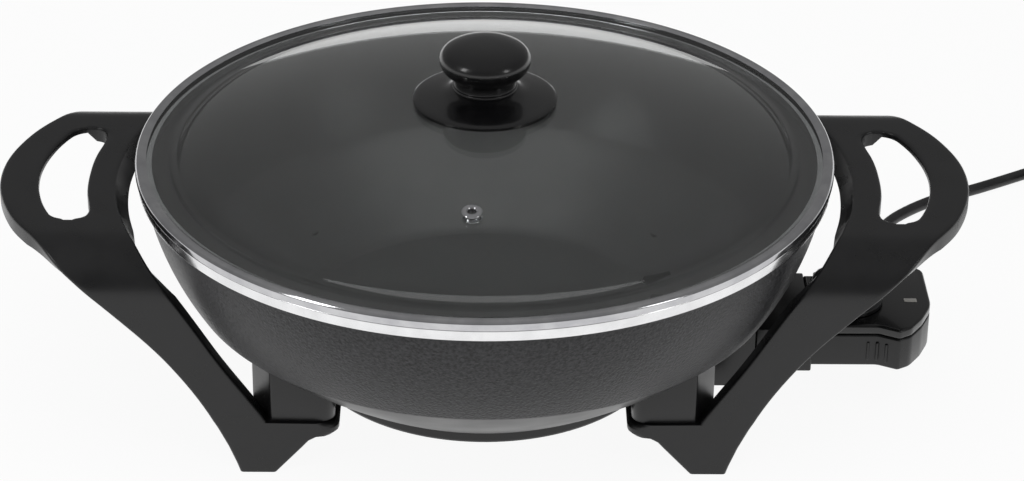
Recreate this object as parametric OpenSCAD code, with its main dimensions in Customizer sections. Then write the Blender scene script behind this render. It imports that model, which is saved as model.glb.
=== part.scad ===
// Electric wok with lift-off glass lid, two handle-and-leg mouldings and a
// plug-in heat control. Units are millimetres. Z = 0 is the table, the origin
// is under the middle of the bowl, +X points to the heat control and +Y away
// from the side that faces the user.

/* [Bowl] */
// Outer radius of the polished rim
rim_r = 174; // [168:0.5:180]
// Height of the polished band under the lid
band_h = 5.5; // [3:0.5:8]
// Height of the rim above the table
rim_z = 133; // [125:1:145]
// Wall thickness of the cast bowl
bowl_wall = 3.5; // [2.5:0.5:5]
// Radius of the round base under the bowl
base_r = 92; // [84:1:94]
// Height of the underside of the base above the table
base_z = 20; // [14:1:24]

/* [Lid] */
// Height of the steel ring around the glass
ring_h = 5; // [4:0.5:6]
// Thickness of the glass
glass_t = 4; // [3:0.5:4]
// Rise of the glass dome over the ring
dome_rise = 27; // [18:1:34]
// Radius of the round skirt under the knob
skirt_r = 36; // [28:1:42]
// Largest radius of the knob
knob_r = 22.6; // [18:0.2:26]
// Distance of the steam vent from the middle
vent_at = 101; // [70:1:130]

/* [Handles] */
// Height of the top of the handles
handle_z = 122; // [112:1:130]
// Half the length of the flat part of a handle
flat_half = 62; // [58:1:66]
// Outside radius of the bend from handle to leg
bend_r = 26; // [20:1:30]
// Wall thickness of the mouldings
shell_t = 3.2; // [2.4:0.2:4]
// Depth of the rims that stiffen the mouldings
rim_depth = 8; // [6:0.5:10]

/* [Heat control] */
// Half the width of the housing
ctl_half = 26; // [24:1:27]
// Underside of the housing
ctl_z0 = 26; // [24:1:28]
// Top panel of the housing
ctl_z1 = 49.5; // [47:0.5:52]
// Radius of the temperature dial
dial_r = 19.5; // [16:0.5:20]
// Height of the temperature dial
dial_h = 12; // [8:0.5:14]

/* [Cord] */
// Diameter of the mains cord
cord_d = 6.5; // [6:0.1:7]

/* [Hidden] */
$fn = 96;

// Clearance between pieces that are set beside each other
clear = 0.3;
// Running clearance of a shaft, a screw or a pin in its hole, on the radius
run = 0.05;

// ---------- bowl ----------
ring_z = rim_z + ring_h;
coat_r = rim_r - 2.5;
band_z = rim_z - band_h;
crease_z = base_z + 51;
crease_r = rim_r - 23.4;
bowl_foot_z = base_z + 7.7;
bowl_foot_r = base_r + 3;
floor_z = bowl_foot_z + 6;
recess_r = base_r - 6;
recess_z = bowl_foot_z + 1.5;

// Centre and radius of the circle through three points, as [x, y, r]
function circle3(a, b, c) =
    let (
        d = 2 * (a[0] * (b[1] - c[1]) + b[0] * (c[1] - a[1]) + c[0] * (a[1] - b[1])),
        na = a * a,
        nb = b * b,
        nc = c * c,
        x = (na * (b[1] - c[1]) + nb * (c[1] - a[1]) + nc * (a[1] - b[1])) / d,
        y = (na * (c[0] - b[0]) + nb * (a[0] - c[0]) + nc * (b[0] - a[0])) / d
    ) [x, y, norm([a[0] - x, a[1] - y])];

upper_arc = circle3([coat_r, band_z], [coat_r - 6.9, crease_z + 29], [crease_r, crease_z]);
lower_arc = circle3(
    [crease_r, crease_z],
    [(crease_r + bowl_foot_r) / 2 + 3.2, (crease_z + bowl_foot_z) / 2 - 4.35],
    [bowl_foot_r, bowl_foot_z]
);
// Height of the bowl's underside, below the crease, at radius r
function skin_z(r) =
    let (x = r - lower_arc[0]) lower_arc[1] - sqrt(lower_arc[2] * lower_arc[2] - x * x);

// Half section of everything inside the bowl's skin, moved out by g, up to height top
module bowl_half(g, top) {
    intersection() {
        union() {
            intersection() {
                translate([upper_arc[0], upper_arc[1]]) circle(r = upper_arc[2] + g, $fn = 180);
                translate([0, crease_z]) square([2 * rim_r, rim_z]);
            }
            intersection() {
                translate([lower_arc[0], lower_arc[1]]) circle(r = lower_arc[2] + g, $fn = 180);
                square([2 * rim_r, crease_z]);
            }
        }
        square([rim_r + 20, top]);
    }
}

// ---------- handle mouldings ----------
bend_len = bend_r * PI / 2;
bend_z = handle_z - bend_r;
face_y = flat_half + bend_r;
pad_z = base_z + 8.3;
leg_len = bend_z - pad_z;
leg_end = flat_half + bend_len + leg_len;

// Outline of a handle and its leg against the distance from the middle of the
// handle, measured along the surface: [distance, inner edge, outer edge], both
// measured from the rim of the bowl
edge = [
    [0, 10.9, 69.8], [12, 10.4, 69.1], [22, 9.4, 67.3], [32, 7.8, 64.4],
    [42, 5.5, 60.6], [49, 3.3, 57.2], [55, 1.4, 53.6], [62, -1.0, 48.8],
    [72, -5.4, 41.6], [84, -11.8, 32.6], [94, -18.6, 22.6], [104, -25.1, 12.0],
    [114, -31.3, 1.8], [124, -37.3, -8.1], [134, -43.3, -17.0], [144, -49.8, -24.7],
    [154, -56.7, -31.6], [164, -63.4, -37.6], [172, -68.4, -41.8]
];
// Half outline of the finger hole, measured in the same way
hole = [
    [0, 25.3, 50.2], [12, 25.0, 49.4], [22, 24.0, 47.6], [32, 22.2, 44.9],
    [40, 21.2, 41.8], [45, 22.2, 39.2], [48, 24.6, 36.0], [49.5, 28.0, 32.5]
];
hole_end = hole[len(hole) - 1][0];

// Rows of the moulding from the front leg over the handle to the rear leg
half_rows = [
    0, 12, 22, 32, 40, 45, 48, hole_end, hole_end + shell_t, hole_end + shell_t + 0.8, 57, flat_half,
    flat_half + bend_len / 6, flat_half + bend_len / 3, flat_half + bend_len / 2,
    flat_half + bend_len * 2 / 3, flat_half + bend_len * 5 / 6, flat_half + bend_len,
    flat_half + bend_len + leg_len * 0.2, flat_half + bend_len + leg_len * 0.4,
    flat_half + bend_len + leg_len * 0.6, flat_half + bend_len + leg_len * 0.8, leg_end
];
half_n = len(half_rows) - 1;
rows = [for (i = [-half_n:half_n]) sign(i) * half_rows[abs(i)]];

// Value of column k of a table at distance s, on a smooth curve through its rows
function seg(t, s, i = 0) = (i >= len(t) - 2 || s < t[i + 1][0]) ? i : seg(t, s, i + 1);
function slope(t, i, k) =
    i == 0 ? 0 :
    i == len(t) - 1 ? (t[i][k] - t[i - 1][k]) / (t[i][0] - t[i - 1][0]) :
    (t[i + 1][k] - t[i - 1][k]) / (t[i + 1][0] - t[i - 1][0]);
function at(t, s, k) =
    let (
        i = seg(t, s),
        h = t[i + 1][0] - t[i][0],
        u = min(1, (s - t[i][0]) / h),
        a = t[i][k],
        b = t[i + 1][k]
    ) a + (b - a) * u * u * (3 - 2 * u)
      + h * (slope(t, i, k) * u * (1 - u) * (1 - u) - slope(t, i + 1, k) * u * u * (1 - u));

// How far the rim hangs over the base where the outline stands as in its table.
// The foot follows the base and the handle follows the rim.
overhang = 82;
function edge_x(s, k) =
    rim_r + at(edge, s, k)
    - (rim_r - base_r - overhang) * max(0, min(1, (s - flat_half) / (leg_end - flat_half)));

// A point of the moulding: x across, s along the surface, d below the surface
function on_arch(x, s, d) =
    let (
        q = abs(s),
        g = s < 0 ? -1 : 1,
        a = (q - flat_half) / bend_r * 180 / PI
    )
    q <= flat_half ? [x, s, handle_z - d] :
    q <= flat_half + bend_len
        ? [x, g * (flat_half + (bend_r - d) * sin(a)), bend_z + (bend_r - d) * cos(a)] :
    [x, g * (face_y - d), bend_z - (q - flat_half - bend_len)];

// The inner rim leans towards the bowl under the handle, and stands square on the legs
function lean(s) = let (u = max(0, min(1, (abs(s) - 40) / 45))) 5.5 * (1 - u * u * (3 - 2 * u));

// Section of one row, as [top x, top d, bottom x, bottom d] for each column
function section(s) =
    let (
        q = abs(s),
        xi = edge_x(q, 1),
        xo = edge_x(q, 2),
        open = q <= hole_end,
        near = q <= hole_end + shell_t,
        hs = min(q, hole_end),
        hi = rim_r + at(hole, hs, 1),
        ho = rim_r + at(hole, hs, 2),
        t = shell_t,
        hd = near ? rim_depth : t,
        l = lean(s),
        ed = 0.9
    ) [
        [xi, ed, xi - l, rim_depth],
        [xi + ed, 0, xi + t - l, rim_depth],
        [xi + t, 0, xi + t + 0.8, t],
        [hi - t - 0.8, 0, hi - t - 0.8, t],
        [hi - t, 0, hi - t, hd],
        [hi - ed, 0, hi - t / 2, hd],
        [hi, open ? ed : 0, hi, hd],
        [ho, open ? ed : 0, ho, t],
        [ho + ed, 0, ho + t / 2, t],
        [ho + t, 0, ho + t, t],
        [ho + t + 0.8, 0, ho + t + 0.8, t],
        [xo - t, 0, xo - t - 0.8, t],
        [xo - ed, 0, xo - t, rim_depth],
        [xo, ed, xo, rim_depth]
    ];
COLS = 14;
MID = 6;

// Past the hole its columns spread evenly over the narrowing web
function spread(s) =
    let (
        q = abs(s),
        c = section(s),
        u = max(0, min(1, (q - hole_end - shell_t - 0.8) / 12)),
        a = c[2][2],
        b = c[11][2]
    ) [for (j = [0:COLS - 1])
        (j < 3 || j > 10) ? c[j] :
        let (x = a + (b - a) * (j - 2) / 9)
        [c[j][0] * (1 - u) + x * u, c[j][1], c[j][2] * (1 - u) + x * u, c[j][3]]
    ];

function is_hole(i, j) =
    j == MID && abs(rows[i]) <= hole_end && abs(rows[i + 1]) <= hole_end;
function filled(i, j) =
    i >= 0 && j >= 0 && i < len(rows) - 1 && j < COLS - 1 && !is_hole(i, j);

module arch_moulding() {
    n = len(rows);
    grid = [for (s = rows) spread(s)];
    top = [for (i = [0:n - 1]) for (j = [0:COLS - 1]) on_arch(grid[i][j][0], rows[i], grid[i][j][1])];
    low = [for (i = [0:n - 1]) for (j = [0:COLS - 1]) on_arch(grid[i][j][2], rows[i], grid[i][j][3])];
    m = n * COLS;
    cells = [for (i = [0:n - 2]) for (j = [0:COLS - 2]) if (filled(i, j)) [i, j]];
    skin = [for (c = cells)
        let (a = c[0] * COLS + c[1], b = a + 1, e = a + COLS, f = e + 1)
        each [[a, e, b], [b, e, f], [a + m, b + m, e + m], [b + m, f + m, e + m]]
    ];
    walls = [for (c = cells)
        let (a = c[0] * COLS + c[1], b = a + 1, e = a + COLS, f = e + 1)
        each concat(
            filled(c[0], c[1] - 1) ? [] : [[a, a + m, e], [e, a + m, e + m]],
            filled(c[0], c[1] + 1) ? [] : [[b, f, b + m], [f, f + m, b + m]],
            filled(c[0] - 1, c[1]) ? [] : [[a, b, a + m], [b, b + m, a + m]],
            filled(c[0] + 1, c[1]) ? [] : [[e, e + m, f], [f, e + m, f + m]]
        )
    ];
    polyhedron(points = concat(top, low), faces = concat(skin, walls), convexity = 8);
}

// ---------- feet ----------
foot_len = 24;
pad_y = face_y - foot_len;
foot_out = edge_x(leg_end, 2);
screw_x = base_r + 2;
screw_y = face_y - 13;
screw_d = 4.8;
head_d = 9;
head_h = 3.2;
seat_z = pad_z - 4.8;
boss_d = 10;
boss_z = pad_z + 5.7;
pad_round = 8;
// Inner end of a pad
pad_x = screw_x - 23;

// Outline of a foot with its pad, seen from the front, from the line of its screw
module foot_outline() {
    translate([screw_x, 0]) polygon([
        [8.5, 0], [26.7, 0], [28.3, 4.8], [32.2, 14.8], [foot_out - screw_x - 1.6, pad_z - 2.8],
        [foot_out - screw_x, pad_z], [-18.6, pad_z], [-21.4, pad_z - 1.1], [-22.8, pad_z - 3.3],
        [-22.6, pad_z - 5.9], [-20.4, pad_z - 7.5], [-14, pad_z - 7.9], [-8, pad_z - 10.2]
    ]);
}

// Outline of the pocket inside a foot
module foot_pocket() {
    translate([screw_x, 0]) polygon([
        [10.6, shell_t], [23.6, shell_t], [25.1, 5.4], [29, 15.4], [33, pad_z - shell_t],
        [-10, pad_z - shell_t], [-10, pad_z - 5.3], [-6, pad_z - 6.9]
    ]);
}

// Plan of a pad with its rounded inner end
module pad_plan() {
    r = pad_round;
    translate([pad_x + r, pad_y]) square([70, foot_len]);
    translate([pad_x, pad_y + r]) square([70, foot_len - 2 * r]);
    for (y = [pad_y + r, face_y - r]) translate([pad_x + r, y]) circle(r = r, $fn = 48);
}

// Foot of one leg: a hollow shoe with its pad, open at the back
module foot() {
    difference() {
        intersection() {
            translate([0, face_y, 0]) rotate([90, 0, 0]) linear_extrude(foot_len) foot_outline();
            linear_extrude(pad_z + 1) pad_plan();
        }
        translate([0, face_y - shell_t, 0]) rotate([90, 0, 0]) linear_extrude(face_y) foot_pocket();
    }
    translate([screw_x, screw_y, pad_z - 8.4]) cylinder(d = head_d + 6, h = 6.8);
}

module handle_leg() {
    difference() {
        union() {
            arch_moulding();
            for (g = [0, 1]) mirror([0, g, 0]) foot();
        }
        for (g = [-1, 1]) translate([screw_x, g * screw_y, 0]) {
            translate([0, 0, 5]) cylinder(d = head_d + 1, h = seat_z - 5);
            translate([0, 0, 5]) cylinder(d = screw_d + 2 * run, h = 30);
        }
    }
}

// ---------- blocks under the bowl ----------
block_y = pad_y + 1;
block_len = foot_len - 2.6;
// Plan of a block: slanted on its outer side, rounded at its inner end
module block_plan() {
    r = 7;
    x = pad_x + 2.4;
    translate([screw_x, block_y]) polygon([
        [-13.6, 0], [21, 0], [20.6, 4.5], [10.6, block_len], [-13.6, block_len]
    ]);
    translate([x, block_y + r]) square([12, block_len - 2 * r]);
    for (y = [r, block_len - r]) translate([x + r, block_y + y]) circle(r = r, $fn = 48);
}

// One block: stands on the pad of a foot and follows the underside of the bowl
module block() {
    difference() {
        translate([0, 0, pad_z]) linear_extrude(40) block_plan();
        rotate_extrude($fn = 180) bowl_half(clear, rim_z);
        translate([screw_x, screw_y, boss_z]) cylinder(d = boss_d + 2 * clear, h = 40);
        translate([screw_x, screw_y, pad_z - 8]) cylinder(d = screw_d + 2 * run, h = 30);
    }
}

// ---------- terminals ----------
pin_y = 11;
pin_z = base_z + 11;
pin_d = 4.5;
probe_z = base_z + 5;
probe_d = 6;
lug_half = 20;
lug_x0 = base_r - 5;
lug_x1 = base_r + 22;
lug_z0 = base_z + 0.5;
lug_z1 = base_z + 18;
element_r = base_r - 22;
element_d = 6.6;
element_z = recess_z - element_d / 2 - 0.1;
element_gap = 12;
// The ends of the element pass under the bowl's foot on their way to the lug
lead_d = 2 * (bowl_foot_z - clear - element_z);
bushing_in = 14;
bushing_d = 7.9;
bushing_len = 18;
guard_x1 = lug_x1 + 47;
guard_half = 30;
guard_z0 = base_z - 4;
guard_z1 = base_z + 30;
guard_t = 2.5;
guard_screw_y = 16;
guard_screw_z = base_z + 4;
guard_screw_d = 3.4;
guard_screw_in = 7;

// ---------- heat control ----------
collar_x = guard_x1 + clear;
collar_t = 6;
collar_half = guard_half - 1;
collar_z0 = guard_z0 + 5.5;
nose_x0 = lug_x1 + 10;
nose_half = 26;
nose_z0 = base_z;
nose_z1 = base_z + 21;
split_z = ctl_z1 - 5.5;
bevel = 1.8;
probe_x0 = base_r - 16;
pin_x0 = lug_x1 - 13;
pin_x1 = lug_x1 + 32;
sleeve_d = 8;
sleeve_x1 = pin_x1 + 4;
dial_x = collar_x + 24.7;
shaft_d = 6;
lens_x = collar_x + 58.7;
lens_l = 6.7;
lens_w = 3.6;
rib_x = collar_x + 34.1;

// ---------- cord ----------
relief_x = collar_x + 38.7;
relief_z = ctl_z0 + 11;
relief_d = 11;
relief_len = 28;
relief_y0 = ctl_half - 6;
coil_c = [368, 206];
coil_r = 43;
coil_pitch = cord_d + 0.7;
coil_z = cord_d / 2 + 1.3;
coil_a0 = 115;
coil_in = 630;
coil_out = 565;
cord_end = [coil_c[0] + coil_r * cos(coil_a0), coil_c[1] + coil_r * sin(coil_a0), coil_z];
cord_end_dir = [sin(coil_a0), -cos(coil_a0), 0];
relief_end = [relief_x, relief_y0 + 6 + relief_len, relief_z];
cord_z = cord_d / 2 + 0.05;

// Points that the cord passes between the control and the coil
route = [
    [200, 72, 36.6], [202, 90, 31], [206, 110, 19], [212, 130, 9], [221, 150, cord_z + 0.8],
    [236, 174, cord_z], [260, 195, cord_z], [289, 211, cord_z], [320, 230, cord_z]
];

// Point at parameter u between the second and third of four points, on a smooth curve
function catmull(p, u) =
    0.5 * (2 * p[1] + (p[2] - p[0]) * u + (2 * p[0] - 5 * p[1] + 4 * p[2] - p[3]) * u * u
    + (3 * p[1] - p[0] - 3 * p[2] + p[3]) * u * u * u);
// Smooth curve through a list of points, n steps in each stretch
function curve(p, n) = [
    for (i = [0:len(p) - 2]) for (k = [0:n - 1])
        catmull([
            i == 0 ? 2 * p[0] - p[1] : p[i - 1], p[i], p[i + 1],
            i == len(p) - 2 ? 2 * p[i + 1] - p[i] : p[i + 2]
        ], k / n),
    p[len(p) - 1]
];
function unit(v) = v / norm(v);
// Direction of the path at point i, exact at both ends
function heading(p, i) =
    i == 0 ? unit(p[1] - p[0]) :
    i == len(p) - 1 ? unit(p[i] - p[i - 1]) :
    unit(unit(p[i + 1] - p[i]) + unit(p[i] - p[i - 1]));
// A tube of n sides along a path, one ring at each point
module tube(p, d, n) {
    r = d / 2;
    pts = [for (i = [0:len(p) - 1])
        let (
            h = heading(p, i),
            side = unit(cross(h, [0, 0, 1])),
            up = cross(side, h)
        )
        for (k = [0:n - 1]) p[i] + r * (cos(k * 360 / n + 90) * side + sin(k * 360 / n + 90) * up)
    ];
    m = len(p) - 1;
    sides = [for (i = [0:m - 1]) for (k = [0:n - 1])
        let (a = i * n + k, b = i * n + (k + 1) % n) each [[a, b, a + n], [b, b + n, a + n]]
    ];
    ends = [[for (k = [n - 1:-1:0]) k], [for (k = [0:n - 1]) m * n + k]];
    polyhedron(points = pts, faces = concat(sides, ends), convexity = 6);
}

run_path = concat(
    [relief_end, relief_end + [0, cord_d, 0]],
    curve(concat(route, [cord_end - cord_end_dir * 12]), 2),
    [cord_end - cord_end_dir * cord_d, cord_end]
);

// Coil: spirals in on the lower layer, climbs where it turns back, spirals out on the upper
coil_step = 15;
function coil_point(w) =
    let (
        a = coil_a0 - w,
        r_in = coil_r - coil_pitch * coil_in / 360,
        r = w <= coil_in ? coil_r - coil_pitch * w / 360 : r_in + coil_pitch * (w - coil_in) / 360,
        u = max(0, min(1, (w - coil_in + 90) / 180))
    ) [
        coil_c[0] + r * cos(a), coil_c[1] + r * sin(a),
        coil_z + coil_pitch * u * u * (3 - 2 * u)
    ];
coil_turns = [for (w = [coil_step:coil_step:coil_in + coil_out]) coil_point(w)];
coil_last = coil_turns[len(coil_turns) - 1];
plug_r = 18.6;
plug_z = plug_r + 0.1;
// Points from the coil's last turn to the plug
tail = [
    coil_last + [1.6, -16, 2], coil_last + [3.4, -32, 5.6], coil_last + [4, -46, plug_z - coil_last[2]]
];
tail_end = tail[2] + [0, -12, 0];
coil_path = concat(
    [cord_end, cord_end + cord_end_dir * cord_d], coil_turns, tail, [tail_end]
);
// Least gap between stretches of the coil that lie more than a third of a turn apart
coil_gap = min([for (i = [0:len(coil_turns) - 9]) for (k = [i + 8:len(coil_turns) - 1])
    norm(coil_turns[i] - coil_turns[k])]) - cord_d;
echo(coil_gap = coil_gap);
function path_len(p, i = 1) = i >= len(p) ? 0 : norm(p[i] - p[i - 1]) + path_len(p, i + 1);
echo(cord_length = path_len(run_path) + path_len(coil_path));
tie_a = 250;
tie_w = 8;
tie_t = 1;

// ==================== bowl and base ====================
// Four copies, one in each quarter
module quarters() {
    for (x = [0, 1]) for (y = [0, 1]) mirror([x, 0, 0]) mirror([0, y, 0]) children();
}

module wok_pan() {
    boss_h = skin_z(norm([screw_x, screw_y])) + 2.2 - boss_z;
    color("dimgray") difference() {
        union() {
            rotate_extrude($fn = 180) {
                difference() {
                    bowl_half(0, rim_z);
                    square([2 * rim_r, bowl_foot_z]);
                    square([recess_r, recess_z]);
                }
                translate([0, band_z]) square([rim_r, band_h]);
            }
            quarters() translate([screw_x, screw_y, boss_z]) cylinder(d = boss_d, h = boss_h);
            translate([lug_x0, -lug_half, lug_z0]) cube([lug_x1 - lug_x0, 2 * lug_half, lug_z1 - lug_z0]);
        }
        rotate_extrude($fn = 180) difference() {
            bowl_half(-bowl_wall, rim_z + 5);
            square([2 * rim_r, floor_z]);
        }
        quarters() translate([screw_x, screw_y, boss_z - 1]) cylinder(d = screw_d + 2 * run, h = 7.5);
        for (y = [-1, 1])
            translate([lug_x1 - bushing_in, y * pin_y, pin_z]) rotate([0, 90, 0])
                cylinder(d = bushing_d + 2 * run, h = 20);
        translate([lug_x0 - 5, 0, probe_z]) rotate([0, 90, 0]) cylinder(d = probe_d + 0.8, h = 60);
        for (y = [-1, 1])
            translate([lug_x1 - guard_screw_in - 1, y * guard_screw_y, guard_screw_z]) rotate([0, 90, 0])
                cylinder(d = guard_screw_d + 2 * run, h = 20);
    }
}

module heating_element() {
    color("silver") translate([0, 0, element_z]) {
        rotate([0, 0, element_gap - 3]) rotate_extrude(angle = 366 - 2 * element_gap)
            translate([element_r, 0]) circle(d = element_d, $fn = 32);
        for (y = [-1, 1])
            translate([element_r * cos(element_gap), y * element_r * sin(element_gap), 0])
                rotate([0, 90, 0])
                    cylinder(d = lead_d, h = lug_x0 - element_r * cos(element_gap), $fn = 32);
    }
}

module base_cover() {
    color("black") difference() {
        rotate_extrude($fn = 180) polygon([
            [0, base_z], [base_r - 1.6, base_z], [base_r - 0.5, base_z + 0.5], [base_r, base_z + 1.6],
            [base_r, bowl_foot_z], [0, bowl_foot_z]
        ]);
        translate([0, 0, base_z + 1.5]) cylinder(r = recess_r, h = 20);
        translate([lug_x0 - 4, -lug_half - clear, base_z - 5]) cube([40, 2 * (lug_half + clear), 40]);
    }
}

module terminal_pins() {
    color("gainsboro") for (y = [-1, 1])
        translate([pin_x0, y * pin_y, pin_z]) rotate([0, 90, 0]) {
            cylinder(d = pin_d, h = pin_x1 - pin_x0 - 1.5);
            translate([0, 0, pin_x1 - pin_x0 - 1.5]) cylinder(d1 = pin_d, d2 = pin_d - 1.8, h = 1.5);
        }
}

module pin_bushings() {
    color("ivory") for (y = [-1, 1])
        translate([lug_x1 - bushing_in, y * pin_y, pin_z]) rotate([0, 90, 0]) difference() {
            cylinder(d = bushing_d, h = bushing_len);
            translate([0, 0, 1]) cylinder(d = pin_d + 2 * run, h = 20);
            translate([0, 0, -1]) cylinder(d = 2, h = 5);
        }
}

module socket_guard() {
    color("black") difference() {
        translate([lug_x1, -guard_half, guard_z0])
            cube([guard_x1 - lug_x1, 2 * guard_half, guard_z1 - guard_z0]);
        translate([lug_x1 + guard_t, guard_t - guard_half, guard_z0 + guard_t])
            cube([60, 2 * (guard_half - guard_t), guard_z1 - guard_z0 - 2 * guard_t]);
        rotate_extrude($fn = 180) bowl_half(clear, rim_z);
        for (y = [-1, 1]) {
            translate([lug_x1 - 1, y * pin_y, pin_z]) rotate([0, 90, 0])
                cylinder(d = bushing_d + 1.1, h = 10);
            translate([lug_x1 - 1, y * guard_screw_y, guard_screw_z]) rotate([0, 90, 0])
                cylinder(d = guard_screw_d + 2 * run, h = 10);
        }
        translate([lug_x1 - 1, 0, probe_z]) rotate([0, 90, 0]) cylinder(d = probe_d + 2, h = 10);
    }
}

module guard_screws() {
    color("silver") for (y = [-1, 1])
        translate([lug_x1 - guard_screw_in, y * guard_screw_y, guard_screw_z]) rotate([0, 90, 0]) {
            cylinder(d = guard_screw_d, h = guard_screw_in + guard_t);
            translate([0, 0, guard_screw_in + guard_t]) cylinder(d = 6, h = 1.6);
        }
}

module frame_screws() {
    color("silver") quarters() translate([screw_x, screw_y, seat_z]) {
        cylinder(d = screw_d, h = 16);
        translate([0, 0, -head_h]) difference() {
            cylinder(d = head_d, h = head_h);
            for (a = [0, 90]) rotate([0, 0, a]) translate([-2.6, -0.5, -1]) cube([5.2, 1, 2.6]);
        }
    }
}

// ==================== lid ====================
dome_chord = rim_r - 16;
glass_r = rim_r - 1;
ring_r = rim_r + 1;
ring_t = 0.6;
flange_r = rim_r - 7.6;
glass_z1 = ring_z - 0.5;
glass_z0 = glass_z1 - glass_t;
dome_h = dome_rise + 0.5;
dome_r = (dome_chord * dome_chord + dome_h * dome_h) / (2 * dome_h);
dome_c = glass_z1 + dome_h - dome_r;
vent_tilt = asin(vent_at / dome_r);
vent_turn = -3.3;
knob_screw_d = 6;
// Height of the top of the glass at radius r
function dome_z(r) = dome_c + sqrt(dome_r * dome_r - r * r);

module lid_glass() {
    color([0.8, 0.85, 0.85, 0.35]) difference() {
        rotate_extrude($fn = 180) {
            intersection() {
                translate([0, dome_c]) difference() {
                    circle(r = dome_r, $fn = 360);
                    circle(r = dome_r - glass_t, $fn = 360);
                }
                translate([0, glass_z0]) square([dome_chord + 0.5, dome_h + glass_t]);
            }
            translate([dome_chord - 1.4, glass_z0]) square([glass_r - dome_chord + 1.4, glass_t]);
        }
        translate([0, 0, ring_z]) cylinder(d = knob_screw_d + 2 * run, h = 60);
        translate([0, 0, dome_c]) rotate([vent_tilt, 0, vent_turn]) translate([0, 0, dome_r - 20])
            cylinder(d = 7.5, h = 40);
    }
}

module lid_ring() {
    color("lightgray") rotate_extrude($fn = 180) {
        translate([ring_r - ring_t, rim_z]) square([ring_t, ring_h]);
        translate([rim_r - 4.5, glass_z1]) square([ring_r - rim_r + 4.5, ring_z - glass_z1]);
        translate([flange_r, rim_z]) square([ring_r - flange_r, glass_z0 - rim_z]);
        translate([flange_r, rim_z - 5]) square([ring_t, glass_z0 - rim_z + 5]);
    }
}

module vent_eyelet() {
    color("silver") translate([0, 0, dome_c]) rotate([vent_tilt, 0, vent_turn]) translate([0, 0, dome_r])
        rotate_extrude($fn = 64) {
            translate([2, -glass_t - 0.8]) square([1.7, glass_t + 1.6]);
            translate([2, 0.05]) square([3, 0.75]);
            translate([2, -glass_t - 0.8]) square([3, 0.75]);
        }
}

skirt_z = dome_z(skirt_r) + 0.1;
neck_z = skirt_z + 7.5;
knob_top = neck_z + 24.29;
// Radius of the knob's neck
neck_r = knob_r - 7.1;

module knob_skirt() {
    side = curve([
        [skirt_r, skirt_z + 1.6], [skirt_r - 2, skirt_z + 2.6], [skirt_r - 8, skirt_z + 3.8],
        [skirt_r - 15, skirt_z + 5.2], [neck_r + 0.9, neck_z]
    ], 4);
    color("black") difference() {
        rotate_extrude() polygon(concat([[0, skirt_z - 4], [skirt_r, skirt_z - 4]], side, [[0, neck_z]]));
        translate([0, 0, dome_c]) sphere(r = dome_r + 0.1, $fn = 200);
        translate([0, 0, skirt_z - 10]) cylinder(d = knob_screw_d + 2 * run, h = 40);
    }
}

module knob_grip() {
    side = curve([
        [neck_r, neck_z], [neck_r, neck_z + 6], [knob_r - 5.4, neck_z + 8.6], [knob_r - 2.4, neck_z + 10.2],
        [knob_r - 0.5, neck_z + 12.4], [knob_r, neck_z + 15.4], [knob_r - 0.8, neck_z + 18.8],
        [knob_r - 3, knob_top - 3.1], [knob_r - 7.1, knob_top - 1.3], [knob_r - 14.6, knob_top - 0.3],
        [0, knob_top]
    ], 4);
    color("black") difference() {
        rotate_extrude() polygon(concat([[0, neck_z]], side));
        translate([0, 0, neck_z - 1]) cylinder(d = knob_screw_d + 2 * run, h = 14);
    }
}

washer_z = dome_z(0) - glass_t - 0.2;
module knob_washer() {
    color("darkslategray") translate([0, 0, washer_z - 1.5]) difference() {
        cylinder(d = 20, h = 1.5);
        translate([0, 0, -1]) cylinder(d = knob_screw_d + 2 * run, h = 4);
    }
}

module knob_screw() {
    color("silver") translate([0, 0, washer_z - 1.5]) {
        cylinder(d = knob_screw_d, h = neck_z + 11 - washer_z);
        translate([0, 0, -3]) difference() {
            cylinder(d = 11, h = 3);
            for (a = [0, 90]) rotate([0, 0, a]) translate([-3.2, -0.6, -1]) cube([6.4, 1.2, 2.8]);
        }
    }
}

// ==================== heat control ====================
// Half plan of the housing, from the collar round its free end
ctl_side = concat(
    [
        [collar_x + collar_t, ctl_half], [collar_x + 38.7, ctl_half],
        [collar_x + 50.2, ctl_half + 4.6]
    ],
    curve([
        [collar_x + 54.2, ctl_half + 4], [collar_x + 61.7, ctl_half - 2.5],
        [collar_x + 67.7, ctl_half - 10.5], [collar_x + 71.5, ctl_half - 19], [collar_x + 72.7, 0]
    ], 3)
);
ctl_plan = concat(
    [for (p = ctl_side) [p[0], -p[1]]],
    [for (i = [len(ctl_side) - 2:-1:0]) ctl_side[i]]
);

// Closed outline p drawn in by g, except at its straight end beside the collar
function inset(p, g) = [for (i = [0:len(p) - 1])
    let (
        n = len(p),
        a = unit(p[i] - p[(i + n - 1) % n]),
        b = unit(p[(i + 1) % n] - p[i]),
        u = [-a[1], a[0]],
        v = [-b[1], b[0]],
        w = p[i] + g * (u + v) / (1 + u * v)
    ) (i == 0 || i == len(p) - 1) ? [p[i][0], w[1]] : w
];

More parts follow.
